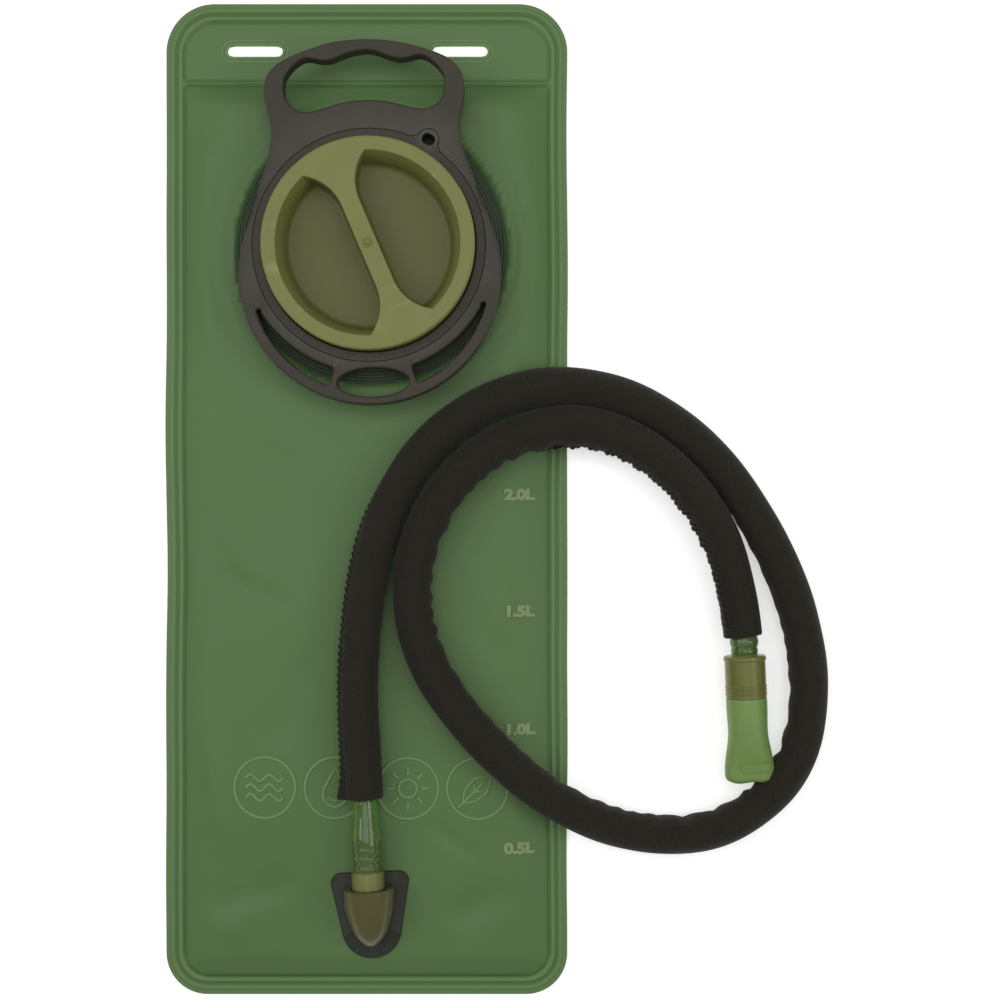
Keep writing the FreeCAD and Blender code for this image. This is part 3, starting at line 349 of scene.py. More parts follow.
@dataclass(frozen=True)
class Finish:
    """A moulded or welded surface.

    The colour moves between dark and light with a soft cloud, and the grain gives a fine bump.
    Some finishes lighten sharp edges, partly as wear and partly as painted highlight, and some
    darken wells with painted shade. Clear finishes let light through.
    """

    name: str
    dark: tuple[float, float, float]
    light: tuple[float, float, float]
    roughness: float
    grain: float = 0.00002
    fine: float = 2500.0
    cloud: float = 40.0
    metallic: float = 0.0
    coat: float = 0.0
    clear: float = 0.0
    # How much sharp edges are lightened, partly as wear and partly as painted highlight.
    wear: float = 0.0
    sheen: float = 0.0
    knit: bool = False
    spread: float = 0.0
    painted_light_map: bool = False
    shine: float = 0.35
    # Height below which painted shade darkens the colour; 0 for none.
    well_shade_top: float = 0.0

    def material(self, groups: dict[str, bpy.types.NodeTree]) -> bpy.types.Material:
        """Build the node material.

        Args:
            groups: the shared node groups by name.

        Returns:
            The material.
        """
        material = bpy.data.materials.new(self.name)
        material.use_nodes = True
        graph = Graph(material.node_tree)
        grain = graph.add("Group", {"Fine Scale": self.fine, "Cloud Scale": self.cloud},
                          node_tree=groups["grain"])
        cloud, height = grain.outputs["Cloud"], grain.outputs["Height"]
        # The film's colour follows its tint attribute, which carries painted highlights and
        # painted shade.
        share = self.painted_light_share(graph, cloud) if self.painted_light_map else cloud
        if self.knit:
            share = height = self.loops(graph, groups["knit"], height)
        colour = graph.add("Mix", {"A": (*self.dark, 1.0), "B": (*self.light, 1.0),
                                   "Factor": share}, "Result", data_type="RGBA")
        # Sharp edges are made lighter: partly wear, partly painted highlight.
        if self.wear:
            mask = graph.add("Group", out="Mask", node_tree=groups["wear"])
            worn_and_lit = (*(min(1.0, part + self.wear) for part in self.light), 1.0)
            colour = graph.add("Mix", {"A": colour, "B": worn_and_lit, "Factor": mask}, "Result",
                               data_type="RGBA")
        # Painted shade: the colour is darkened below a height, in the wells.
        if self.well_shade_top:
            colour = self.shaded_wells(graph, colour)
        rough = graph.add("MapRange", {
            "To Min": max(0.02, self.roughness - ROUGHNESS_SWING),
            "To Max": min(1.0, self.roughness + ROUGHNESS_SWING), "Value": cloud}, "Result")
        normal = graph.add("Bump", {"Distance": self.grain, "Height": height}, "Normal")
        feeds = {
            "Metallic": self.metallic, "Coat Weight": self.coat,
            "Coat Roughness": COAT_ROUGHNESS, "Sheen Weight": self.sheen,
            "Sheen Roughness": SHEEN_ROUGHNESS, "Transmission Weight": self.clear, "IOR": IOR,
            "Specular IOR Level": self.shine, "Base Color": colour, "Roughness": rough,
            "Normal": normal}
        if self.spread:
            feeds |= {"Subsurface Weight": self.spread, "Subsurface Radius": SKIN_DEPTHS,
                      "Subsurface Scale": 1.0}
        graph.feed(graph.nodes["Principled BSDF"], feeds)
        return material

    @staticmethod
    def painted_light_share(graph: Graph, cloud: bpy.types.NodeSocket) -> bpy.types.NodeSocket:
        """Return the film's tint attribute, which holds painted highlights on the welded ribs and
        painted shade in the grooves, made uneven by the cloud.
        """
        tint_and_painted_light = graph.add("Attribute", out="Fac", attribute_name="tint_and_painted_light")
        low = graph.add("Math", {0: tint_and_painted_light, 1: TINT_LOWER}, "Value", operation="SUBTRACT")
        return graph.add("Math", {0: cloud, 1: TINT_CLOUD, 2: low}, "Value",
                         operation="MULTIPLY_ADD", use_clamp=True)

    def shaded_wells(self, graph: Graph, colour: bpy.types.NodeSocket) -> bpy.types.NodeSocket:
        """Return the colour with painted shade: darker in the wells, below the given height,
        where shade falls.
        """
        spot = graph.add("TexCoord", out="Object")
        height = graph.add("SeparateXYZ", {"Vector": spot}, "Z")
        depth = graph.add("MapRange", {"From Min": self.well_shade_top - WELL_SHADE_FADE, "From Max": self.well_shade_top,
                                       "To Min": 1.0, "To Max": 0.0, "Value": height}, "Result")
        shade = (*(part * WELL_SHADE_FACTOR for part in self.dark), 1.0)
        return graph.add("Mix", {"A": colour, "B": shade, "Factor": depth}, "Result",
                         data_type="RGBA")

    @staticmethod
    def loops(graph: Graph, group: bpy.types.NodeTree,
              grain: bpy.types.NodeSocket) -> bpy.types.NodeSocket:
        """Return the knit's height, broken up by the fine grain."""
        knit = graph.add("Group", out="Height", node_tree=group)
        stronger = graph.add("Math", {0: knit, 1: KNIT_GAIN, 2: KNIT_LIFT}, "Value",
                             operation="MULTIPLY_ADD")
        return graph.add("Math", {0: stronger, 1: grain}, "Value", operation="MULTIPLY",
                         use_clamp=True)


FINISHES = {
    "film": Finish("film_green", (0.072, 0.150, 0.042), (0.138, 0.240, 0.089), 0.50,
                   grain=0.00003, fine=1800.0, cloud=9.0, painted_light_map=True),
    "weld": Finish("welded_rib", (0.142, 0.255, 0.092), (0.198, 0.325, 0.128), 0.45,
                   grain=0.00002, fine=1500.0, cloud=60.0),
    "mark": Finish("raised_mark", (0.210, 0.300, 0.125), (0.270, 0.360, 0.165), 0.55,
                   grain=0.00008, fine=2400.0, cloud=300.0),
    # The port's colour is darkened as painted shade from the handle that covers it.
    "port": Finish("port_green", (0.016, 0.040, 0.010), (0.028, 0.060, 0.016), 0.45,
                   cloud=50.0),
    "black": Finish("frame_black", (0.038, 0.034, 0.023), (0.058, 0.052, 0.036), 0.58,
                    grain=0.00004, fine=3000.0, cloud=70.0, wear=0.02),
    "shield": Finish("outlet_black", (0.016, 0.019, 0.012), (0.027, 0.031, 0.020), 0.46,
                     grain=0.00003, fine=3000.0, cloud=80.0, wear=0.02),
    # The cap's wells get painted shade below 25.5 mm.
    "olive": Finish("cap_olive", (0.182, 0.195, 0.051), (0.238, 0.252, 0.075), 0.46,
                    grain=0.00003, fine=2600.0, cloud=60.0, wear=0.05, well_shade_top=0.0255),
    "bronze": Finish("dome_bronze", (0.086, 0.077, 0.027), (0.122, 0.110, 0.041), 0.30,
                     grain=0.00002, cloud=120.0, coat=0.05),
    "lock": Finish("lock_olive", (0.130, 0.138, 0.024), (0.170, 0.178, 0.036), 0.30,
                   cloud=120.0, coat=0.12, wear=0.03),
    "tube": Finish("tube_clear_green", (0.38, 0.60, 0.18), (0.44, 0.67, 0.22), 0.06,
                   grain=0.0000005, fine=400.0, cloud=60.0, clear=0.86, shine=0.5),
    "sleeve": Finish("sleeve_knit", (0.009, 0.0075, 0.0043), (0.044, 0.037, 0.023), 0.92,
                     grain=0.00022, fine=1500.0, cloud=120.0, sheen=0.08, knit=True),
    "thread": Finish("seam_thread", (0.007, 0.006, 0.005), (0.022, 0.018, 0.013), 0.40,
                     grain=0.00004, cloud=400.0),
    "bite": Finish("bite_silicone", (0.165, 0.276, 0.070), (0.230, 0.350, 0.108), 0.40,
                   grain=0.00002, cloud=70.0, spread=0.1),
    "seal": Finish("seal_rubber", (0.010, 0.010, 0.010), (0.022, 0.022, 0.022), 0.55),
    "white": Finish("valve_white", (0.62, 0.62, 0.58), (0.72, 0.72, 0.68), 0.40),
    "wire": Finish("spring_wire", (0.50, 0.50, 0.51), (0.62, 0.62, 0.63), 0.25, metallic=1.0),
    # A dark bead as painted shade in the mouth's slit.
    "slit": Finish("mouth_slit_shade", (0.012, 0.020, 0.008), (0.020, 0.032, 0.012), 0.60),
}


class Palette:
    """Every finish, made once and handed out by name."""

    def __init__(self) -> None:
        """Build the shared groups and the materials."""
        groups = {"grain": grain_group(), "wear": wear_and_highlight_group(), "knit": knit_group()}
        self.materials = {key: finish.material(groups) for key, finish in FINISHES.items()}

    def __getitem__(self, key: str) -> bpy.types.Material:
        """Return the material called key."""
        return self.materials[key]


NODE_FINISH = {
    "fill_port": "port", "port_collar": "black", "handle_frame": "black", "screw_cap": "olive",
    "cap_gasket": "seal", "outlet_flange": "shield", "outlet_body": "bronze",
    "outlet_poppet": "white", "poppet_seal": "seal", "poppet_spring": "wire",
    "tube_plug": "olive", "plug_oring": "seal", "valve_barrel": "lock", "valve_oring": "seal",
    "valve_lock_ring": "lock", "valve_stem": "white",
}


def dress_nodes(palette: Palette) -> None:
    """Give each carried-over node its finish."""
    for node, key in NODE_FINISH.items():
        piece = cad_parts[node]
        piece.data.materials.clear()
        piece.data.materials.append(palette[key])


# ------------------------------------------------------------------ stage
@dataclass
class Stage:
    """Camera, floor and soft light."""

    height: float = 0.750
    middle: tuple[float, float] = (0.0565, -0.0004)
    view_width: float = 0.425
    sensor: float = 36.0

    def camera(self) -> None:
        """Hang the camera straight above the object, the tab at the top."""
        data = bpy.data.cameras.new("camera")
        data.sensor_width = self.sensor
        data.lens = self.sensor * self.height / self.view_width
        camera = link(bpy.data.objects.new("camera", data))
        camera.location = (*self.middle, self.height)
        bpy.context.scene.camera = camera

    def light(self, name: str, spot: Sequence[float], size: float, power: float) -> None:
        """Add one square softbox aimed at the object."""
        data = bpy.data.lights.new(name, "AREA")
        data.size = size
        data.energy = power
        lamp = link(bpy.data.objects.new(name, data))
        lamp.location = spot
        aim = Vector((*self.middle, 0.0)) - Vector(spot)
        lamp.rotation_euler = aim.to_track_quat("-Z", "Y").to_euler()

    def build(self) -> None:
        """Lay the floor and hang the lights."""
        bm = bmesh.new()
        bmesh.ops.create_grid(bm, x_segments=2, y_segments=2, size=3.0)
        bmesh.ops.translate(bm, verts=bm.verts, vec=(0, 0, -0.0004))
        material = bpy.data.materials.new("pale_floor")
        material.use_nodes = True
        Graph(material.node_tree).feed(material.node_tree.nodes["Principled BSDF"], {
            "Base Color": (0.9, 0.9, 0.9, 1.0), "Roughness": 0.8,
            "Emission Color": (1.0, 1.0, 1.0, 1.0), "Emission Strength": 0.5})
        make_object("floor", bm, material)
        self.light("softbox_over", (0.05, 0.30, 1.55), 1.3, 8.5)
        self.light("softbox_left", (-0.85, 0.15, 0.95), 0.7, 3.6)
        self.light("softbox_right", (1.00, -0.05, 0.95), 0.7, 3.2)
        world = bpy.data.worlds.new("studio")
        world.use_nodes = True
        Graph(world.node_tree).feed(world.node_tree.nodes["Background"],
                                    {"Color": (1, 1, 1, 1), "Strength": 0.24})
        bpy.context.scene.view_settings.view_transform = "Standard"
        bpy.context.scene.world = world


# ------------------------------------------------------------------ hose
class HoseLine:
    """The hose's centre line, read from its route's smooth curve."""

    def __init__(self) -> None:
        """Read the line once."""
        mesh = curve_mesh(self.curve("hose_line"))
        self.points = [vert.co.copy() for vert in mesh.vertices]
        self.lengths = [0.0]
        for before, after in zip(self.points, self.points[1:]):
            self.lengths.append(self.lengths[-1] + (after - before).length)

    @staticmethod
    def curve(name: str) -> bpy.types.Curve:
        """Return the route as a smooth open curve."""
        data = bpy.data.curves.new(name, "CURVE")
        data.dimensions = "3D"
        data.resolution_u = 16
        spline = data.splines.new("NURBS")
        spline.points.add(len(HOSE_ROUTE_MM) - 1)
        for spot, point in zip(spline.points, HOSE_ROUTE_MM):
            spot.co = (*(value * MM for value in point), 1.0)
        spline.order_u = 3
        spline.use_endpoint_u = True
        return data

    @property
    def length(self) -> float:
        """Whole length of the line."""
        return self.lengths[-1]

    def at(self, along: float) -> tuple[Vector, Vector, Vector, Vector]:
        """Return the point, the way ahead, the right side and up, at a distance along."""
        along = min(max(along, 0.0), self.length)
        low, high = 0, len(self.lengths) - 1
        while high - low > 1:
            middle = (low + high) // 2
            low, high = (middle, high) if self.lengths[middle] <= along else (low, middle)
        span = max(self.lengths[high] - self.lengths[low], 1e-9)
        point = self.points[low].lerp(self.points[high], (along - self.lengths[low]) / span)
        first = self.points[max(low - 2, 0)]
        last = self.points[min(high + 2, len(self.points) - 1)]
        ahead = (last - first).normalized()
        right = ahead.cross(Vector((0, 0, 1))).normalized()
        return point, ahead, right, right.cross(ahead).normalized()

    def bend(self, along: float) -> float:
        """Return the turn to the right per metre at a distance along."""
        step = 0.012
        before, after = self.at(along - step)[1], self.at(along + step)[1]
        return before.cross(after).z / (-2 * step)


# Sleeve: thickness over width; stitches: half their slant along the hose, half their span round
# it and the angle from straight under within which they are hidden, both in degrees.
SLEEVE_FLATTENED = 0.975
STITCH_SLANT, STITCH_SPAN, STITCH_HIDDEN = 0.0013, 24.0, 42.0
THREAD_RADIUS, STITCH_FLOOR = 0.00044, FLOOR_GAP + 0.0006
SWELL, RIDGE, FLAP = 0.0009, 0.0006, 0.0030


@dataclass
class Hose:
    """Clear tube, fabric sleeve with its sewn edge, and the tube's swollen ends."""

    palette: Palette
    line: HoseLine
    sleeve_start: float = 0.0305
    sleeve_stop: float = 0.0078
    sleeve_half: float = 0.0082
    stitch_pitch: float = 0.0029
    touching: tuple[tuple[float, float], ...] = ((0.285, 0.0), (0.862, 180.0))

    def tube(self) -> bpy.types.Object:
        """Make the clear tube as a round cord."""
        data = HoseLine.curve("tube")
        data.bevel_depth = TUBE_DIAMETER / 2
        data.bevel_resolution = 6
        data.use_fill_caps = True
        data.materials.append(self.palette["tube"])
        tube = link(bpy.data.objects.new("tube", data))
        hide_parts("drinking_tube")
        return place(tube, Body.HOSE)

    def seam_angle(self, along: float) -> float:
        """Angle of the sewn edge round the sleeve: left at the plug, right at the valve."""
        share = along / self.line.length
        first = smoothstep(0.13, 0.23, share)
        second = smoothstep(0.76, 0.88, share)
        turn = Side.LEFT.value + (Side.UNDER.value - Side.LEFT.value) * first
        turn += (Side.RIGHT.value - Side.UNDER.value) * second
        return turn + 34.0 * smoothstep(0.92, 0.985, share)

    def radius(self, along: float, angle: float) -> float:
        """Radius of the sleeve's face at a distance along and an angle round it."""
        bend = self.line.bend(along)
        inside = math.cos(math.radians(angle)) * (1 if bend > 0 else -1)
        squeeze = min(1.0, abs(bend) / 16.0) * max(0.0, inside) ** 2
        fold = noise.noise(Vector((along * 190.0, angle * 0.004, 3.0)))
        soft = noise.noise(Vector((along * 45.0, math.cos(math.radians(angle)) * 1.2,
                                   math.sin(math.radians(angle)) * 1.2)))
        away = abs((angle - self.seam_angle(along) + 180.0) % 360.0 - 180.0)
        flap = FLAP * math.exp(-(along - self.sleeve_start) / 0.009)
        under = smoothstep(35.0, 75.0, abs(self.seam_angle(along) - Side.UNDER.value))
        ridge = (RIDGE + flap) * under * math.exp(-(away / 13.0) ** 2)
        base = self.sleeve_half - 0.0001
        knots = math.sin(along * 610.0 + 2.5 * math.sin(along * 93.0))
        share = along / self.line.length
        lean = sum(math.exp(-((share - middle) / 0.030) ** 2)
                   * max(0.0, math.cos(math.radians(angle - facing))) ** 3
                   for middle, facing in self.touching)
        crumple = 0.0005 * squeeze * (knots + 1.8 * fold) - 0.0003 * squeeze
        return base + ridge + 0.00030 * soft + crumple * (1.0 - min(1.0, lean)) + SWELL * lean

    @staticmethod
    def round_spot(place_on_line: tuple[Vector, Vector, Vector, Vector], angle: float,
                   reach: float, floor: float) -> Vector:
        """Point beside the line, at an angle round it, never below the floor."""
        point, _, right, up = place_on_line
        spot = point + right * (reach * math.cos(math.radians(angle)))
        spot = spot + up * (reach * SLEEVE_FLATTENED * math.sin(math.radians(angle)))
        spot.z = max(spot.z, floor)
        return spot

    def ring(self, along: float, sides: int, inset: float = 0.0) -> list[Vector]:
        """Points of one ring of the sleeve."""
        here = self.line.at(along)
        angles = [360.0 * step / sides for step in range(sides)]
        return [self.round_spot(here, angle, self.radius(along, angle) - inset, FLOOR_GAP)
                for angle in angles]

    def sleeve(self) -> bpy.types.Object:
        """Make the fabric sleeve, with turned-in ends and a UV map in metres."""
        sides, step = 48, 0.0018
        start, stop = self.sleeve_start, self.line.length - self.sleeve_stop
        count = int((stop - start) / step)
        stations = [(start, 0.0032), (start, 0.0012), (start + 0.0001, 0.0003)]
        stations += [(start + 0.0006 + (stop - start - 0.0012) * index / count, 0.0)
                     for index in range(count + 1)]
        stations += [(stop - 0.0001, 0.0003), (stop, 0.0012), (stop, 0.0032)]
        bm = bmesh.new()
        layer = bm.loops.layers.uv.new("cloth")
        loops = []
        for along, inset in stations:
            made = bmesh.ops.create_circle(bm, segments=sides, radius=1.0)
            for vert, spot in zip(made["verts"], self.ring(along, sides, inset)):
                vert.co = spot
            loops.append(made["verts"])
        for near, far in zip(loops, loops[1:]):
            edges = [edge for verts in (near, far) for vert in verts for edge in vert.link_edges
                     if edge.other_vert(vert) in verts]
            bmesh.ops.bridge_loops(bm, edges=list(dict.fromkeys(edges)))
        rank = {vert: (row, column) for row, verts in enumerate(loops)
                for column, vert in enumerate(verts)}
        girth = math.tau * self.sleeve_half
        for face in bm.faces:
            columns = [rank[loop.vert][1] for loop in face.loops]
            wraps = max(columns) - min(columns) > sides / 2
            for loop, column in zip(face.loops, columns):
                round_way = column + (sides if wraps and column < sides / 2 else 0)
                along = stations[rank[loop.vert][0]][0]
                loop[layer].uv = (along, girth * round_way / sides)
        bmesh.ops.recalc_face_normals(bm, faces=bm.faces)
        sleeve = make_object("sleeve_cloth", bm, self.palette["sleeve"])
        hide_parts("insulation_sleeve")
        return place(sleeve, Body.HOSE)

    def stitches(self) -> bpy.types.Object:
        """Sew the overlocked edge: slanted loops of thread over the ridge."""
        start = self.sleeve_start + 0.002
        stop = self.line.length - self.sleeve_stop - 0.002
        count = int((stop - start) / self.stitch_pitch)
        beads = []
        for index in range(count):
            along = start + index * self.stitch_pitch
            middle = self.seam_angle(along)
            if abs(middle - Side.UNDER.value) < STITCH_HIDDEN:
                continue
            spots = []
            for share in (-1.0, -0.6, -0.2, 0.2, 0.6, 1.0):
                near = along + STITCH_SLANT * share
                angle = middle + STITCH_SPAN * share
                reach = self.radius(near, angle) + 0.0002 * (1.0 - share * share)
                spots.append(self.round_spot(self.line.at(near), angle, reach, STITCH_FLOOR))
            beads.append(sweep_line(spots, THREAD_RADIUS, closed=False, sides=1))
        thread = make_object("sleeve_stitches", join_meshes(beads), self.palette["thread"])
        return place(thread, Body.HOSE)

    def swollen_end(self, name: str, axis: Matrix,
                    profile: Sequence[tuple[float, float]]) -> bpy.types.Object:
        """Make the tube's end, stretched over the barbs.

        Args:
            name: name of the piece.
            axis: where the fitting's face is; the tube runs along its +Y.
            profile: (radius, distance from the face) pairs.

        Returns:
            The new piece.
        """
        bm = spin_profile(rounded(profile, 0.0006), 64)
        bmesh.ops.transform(bm, matrix=axis, verts=bm.verts)
        bmesh.ops.recalc_face_normals(bm, faces=bm.faces)
        end = make_object(name, bm, self.palette["tube"])
        return place(end, Body.HOSE)

    def build(self) -> list[bpy.types.Object]:
        """Build the tube, first in the list, and what it carries."""
        return [self.tube(), self.sleeve(), self.stitches(),
                self.swollen_end("tube_end_outlet", plug_face(), OUTLET_SWELL),
                self.swollen_end("tube_end_valve", valve_face(), VALVE_SWELL)]


def turned(spot: Vector, angle: float) -> Matrix:
    """Return a place at spot, turned by angle degrees about Z."""
    return Matrix.Translation(spot) @ Matrix.Rotation(math.radians(angle), 4, "Z")


OUTLET_TURN = 2.5
VALVE_TURN = 2.5
THIN = TUBE_DIAMETER / 2
OUTLET_SWELL = [(0.0, 0.0001), (0.0052, 0.0001), (0.0057, 0.0007), (0.0058, 0.0022),
                (0.0053, 0.0030), (0.0056, 0.0042), (0.0062, 0.0050), (0.0063, 0.0064),
                (0.0057, 0.0072), (0.0061, 0.0080), (0.0063, 0.0098), (0.0059, 0.0106),
                (0.0062, 0.0114), (0.0061, 0.0140), (0.0059, 0.0158), (0.0055, 0.0190),
                (0.0051, 0.0230), (THIN + 0.0001, 0.0275), (THIN, 0.0300), (0.0, 0.0300)]
VALVE_SWELL = [(0.0, 0.0001), (0.0052, 0.0001), (0.0056, 0.0008), (0.0057, 0.0022),
               (0.0053, 0.0030), (0.0058, 0.0040), (0.0061, 0.0056), (0.0057, 0.0072),
               (0.0053, 0.0090), (0.0050, 0.0105), (0.0, 0.0105)]


def plug_face() -> Matrix:
    """Face of the plug's collar that the tube butts against."""
    return turned(Vector(HOSE_ROUTE_MM[0]) * MM, OUTLET_TURN)


def valve_face() -> Matrix:
    """Face of the valve's barrel that the tube butts against."""
    return turned(Vector(HOSE_ROUTE_MM[-1]) * MM, VALVE_TURN)


# ------------------------------------------------------------------ reservoir
@dataclass(frozen=True)
class Panel:
    """A rounded box seen from above."""

    left: float
    right: float
    bottom: float
    top: float
    bottom_corner: float
    top_corner: float

    def depth(self, x: float, y: float) -> float:
        """Distance in from the edge, negative outside."""
        middle = (self.bottom + self.top) / 2
        corner = self.top_corner if y > middle else self.bottom_corner
        away_x = abs(x - (self.left + self.right) / 2) - (self.right - self.left) / 2 + corner
        away_y = abs(y - middle) - (self.top - self.bottom) / 2 + corner
        outside = math.hypot(max(away_x, 0.0), max(away_y, 0.0))
        return corner - outside - min(max(away_x, away_y), 0.0)


@dataclass(frozen=True)
class Hole:
    """A round or stadium-shaped opening in the film."""

    x: float
    y: float
    reach: float
    radius: float

    def nearest(self, x: float, y: float) -> tuple[float, float, float]:
        """Return the nearest point of the rim, and how far inside the rim the spot is."""
        middle = min(max(x, self.x - self.reach), self.x + self.reach)
        away = math.hypot(x - middle, y - self.y)
        scale = self.radius / max(away, 1e-9)
        return middle + (x - middle) * scale, self.y + (y - self.y) * scale, self.radius - away

    def rim(self, gap: float, steps: int = 20) -> list[Vector]:
        """Points round the opening, at a gap outside its rim."""
        spots = []
        for end, start in ((1.0, -90.0), (-1.0, 90.0)):
            for step in range(steps + 1):
                angle = math.radians(start + 180.0 * step / steps)
                spots.append(Vector((self.x + end * self.reach
                                     + (self.radius + gap) * math.cos(angle),
                                     self.y + (self.radius + gap) * math.sin(angle), 0.0)))
        return spots


@dataclass(frozen=True)
class Crease:
    """A soft fold that runs straight across the film."""

    start: tuple[float, float]
    end: tuple[float, float]
    width: float
    height: float

    def lift(self, x: float, y: float) -> float:
        """Height that the fold adds at a spot."""
        first, spot = Vector(self.start), Vector((x, y))
        run = Vector(self.end) - first
        share = min(1.0, max(0.0, (spot - first).dot(run) / run.length_squared))
        away = (spot - first - run * share).length / self.width
        ends = math.sin(math.pi * min(1.0, max(0.0, share))) ** 0.5 if 0 < share < 1 else 0.0
        return self.height * math.exp(-away * away) * ends


def bump(value: float, low: float, high: float) -> float:
    """A round hump between low and high, 1 at its top."""
    share = (value - low) / (high - low)
    return math.sin(math.pi * share) ** 0.6 if 0.0 < share < 1.0 else 0.0


# Where the border's two ribs and the groove between them lie, in from the edge, and the bar
# between the pocket and the tab.
RIB_OUTER, RIB_INNER, RIB_GROOVE = (0.0020, 0.0037), (0.0052, 0.0071), (0.0037, 0.0052)
BAR_HALF_LENGTH = 0.0765


@dataclass
class Reservoir:
    """The welded bag: two films, their ribs, slots, volume marks and round badges."""

    palette: Palette
    line: HoseLine
    half_width: float = 0.085
    half_length: float = 0.210
    film: float = 0.0006
    border_top: float = 0.0012
    plateau: float = 0.0069
    side_slope: float = 0.021
    end_slope: float = 0.0110
    neck: tuple[float, float] = NECK
    port_ring: float = 0.0635
    outline: Panel = Panel(-0.085, 0.085, -0.210, 0.210, 0.0175, 0.0205)
    pocket: Panel = Panel(-0.0775, 0.0775, -0.2025, 0.1755, 0.0115, 0.0022)
    tab: Panel = Panel(-0.0775, 0.0775, 0.1773, 0.2025, 0.0022, 0.0145)
    port: Hole = Hole(*NECK, 0.0, 0.0568)
    slots: tuple[Hole, Hole] = (Hole(-0.0474, 0.190, 0.00945, 0.0023),
                                Hole(0.0396, 0.190, 0.00945, 0.0023))
    creases: tuple[Crease, ...] = (
        Crease((-0.070, 0.165), (-0.062, 0.120), 0.0040, 0.0013),
        Crease((-0.048, 0.160), (-0.058, 0.135), 0.0050, -0.0012),
        Crease((-0.070, 0.060), (-0.030, 0.020), 0.0060, 0.0010),
        Crease((-0.066, -0.010), (-0.044, -0.038), 0.0030, 0.0008),
        Crease((-0.060, -0.030), (-0.030, -0.046), 0.0035, -0.0008),
        Crease((-0.071, -0.080), (-0.060, -0.150), 0.0040, 0.0012),
        Crease((-0.066, -0.172), (-0.028, -0.160), 0.0060, -0.0016),
        Crease((-0.055, -0.188), (-0.050, -0.160), 0.0050, 0.0010),
        Crease((0.026, -0.135), (0.046, -0.152), 0.0028, -0.0010),
        Crease((0.034, -0.178), (0.062, -0.164), 0.0060, -0.0014),
        Crease((0.064, -0.120), (0.070, -0.185), 0.0040, 0.0010),
        Crease((0.030, 0.020), (0.066, 0.050), 0.0060, -0.0008),
        Crease((0.068, 0.140), (0.066, 0.060), 0.0030, 0.0010),
        Crease((-0.020, -0.060), (-0.038, -0.105), 0.0060, -0.0008),
        Crease((0.040, -0.020), (0.060, -0.060), 0.0050, 0.0009),
    )

    def __post_init__(self) -> None:
        """Index the hose's line, so the film can lie calm under it."""
        self.hose_tree = kdtree.KDTree(len(self.line.points))
        for index, point in enumerate(self.line.points):
            self.hose_tree.insert((point.x, point.y, 0.0), index)
        self.hose_tree.balance()

    def freedom(self, x: float, y: float) -> float:
        """How freely the film may wave: none under the hose, the port or the outlet."""
        near = self.hose_tree.find((x, y, 0.0))[2]
        ring = math.hypot(x - self.neck[0], y - self.neck[1])
        outlet = math.hypot(x - 0.0024, (y + 0.174) * 0.85)
        share = smoothstep(0.009, 0.024, near) * smoothstep(0.066, 0.084, ring)
        share *= smoothstep(0.019, 0.034, outlet)
        return share * smoothstep(0.001, 0.016, self.pocket.depth(x, y))

    def waves(self, x: float, y: float) -> float:
        """Soft hills and the fine folds between them."""
        spot = Vector((x, y, 0.0))
        hills = noise.noise(spot * 15.0) * 0.0011 + noise.noise(spot * 36.0) * 0.0003
        folds = (1.0 - abs(noise.noise(Vector((x * 24.0, y * 13.0, 5.0))))) ** 6 * 0.0004
        return hills + folds + 0.7 * sum(crease.lift(x, y) for crease in self.creases)

    def height(self, x: float, y: float) -> float:
        """Top of the front film."""
        edge = self.outline.depth(x, y)
        ribs = 0.00042 * (bump(edge, *RIB_OUTER) + bump(edge, *RIB_INNER))
        ribs -= 0.00030 * bump(edge, *RIB_GROOVE)
        pocket, tab = self.pocket.depth(x, y), self.tab.depth(x, y)
        groove = -0.00035 * (bump(pocket, -0.0006, 0.0006) + bump(tab, -0.0006, 0.0006))
        bar = bump(y, 0.1756, 0.1772) * (0.00045 if abs(x) < BAR_HALF_LENGTH else 0.0)
        level = self.border_top + ribs + groove + bar
        if pocket > 0.0:
            away = math.hypot(x - self.neck[0], y - self.neck[1])
            gentle = smoothstep(0.064, 0.092, away)
            slope = self.side_slope * (0.52 + 0.48 * gentle)
            slope *= 1.0 + 0.25 * gentle * noise.noise(Vector((x * 3.0, y * 14.0, 1.0)))
            side = min(x - self.pocket.left, self.pocket.right - x) / slope
            end = min(y - self.pocket.bottom, self.pocket.top - y) / self.end_slope
            rise = math.sin(math.pi / 2 * min(1.0, side)) * math.sin(math.pi / 2 * min(1.0, end))
            level += (self.plateau - self.border_top) * max(0.0, rise)
            ring = math.hypot(x - self.neck[0], y - self.neck[1]) - self.port_ring
            level += 0.00055 * math.exp(-(ring / 0.0011) ** 2)
            level -= 0.00045 * math.exp(-((ring - 0.0040) / 0.0022) ** 2)
            level += self.waves(x, y) * self.freedom(x, y)
        elif tab > 0.0:
            level += noise.noise(Vector((x * 40.0, y * 60.0, 9.0))) * 0.00012
        return level

    def tint_and_painted_light(self, x: float, y: float) -> float:
        """Lightness of the film: painted highlights on the ribs and the bar, painted shade in the
        grooves, a lighter outer edge, and a lighter welded border and tab.
        """
        edge = self.outline.depth(x, y)
        pocket, tab = self.pocket.depth(x, y), self.tab.depth(x, y)
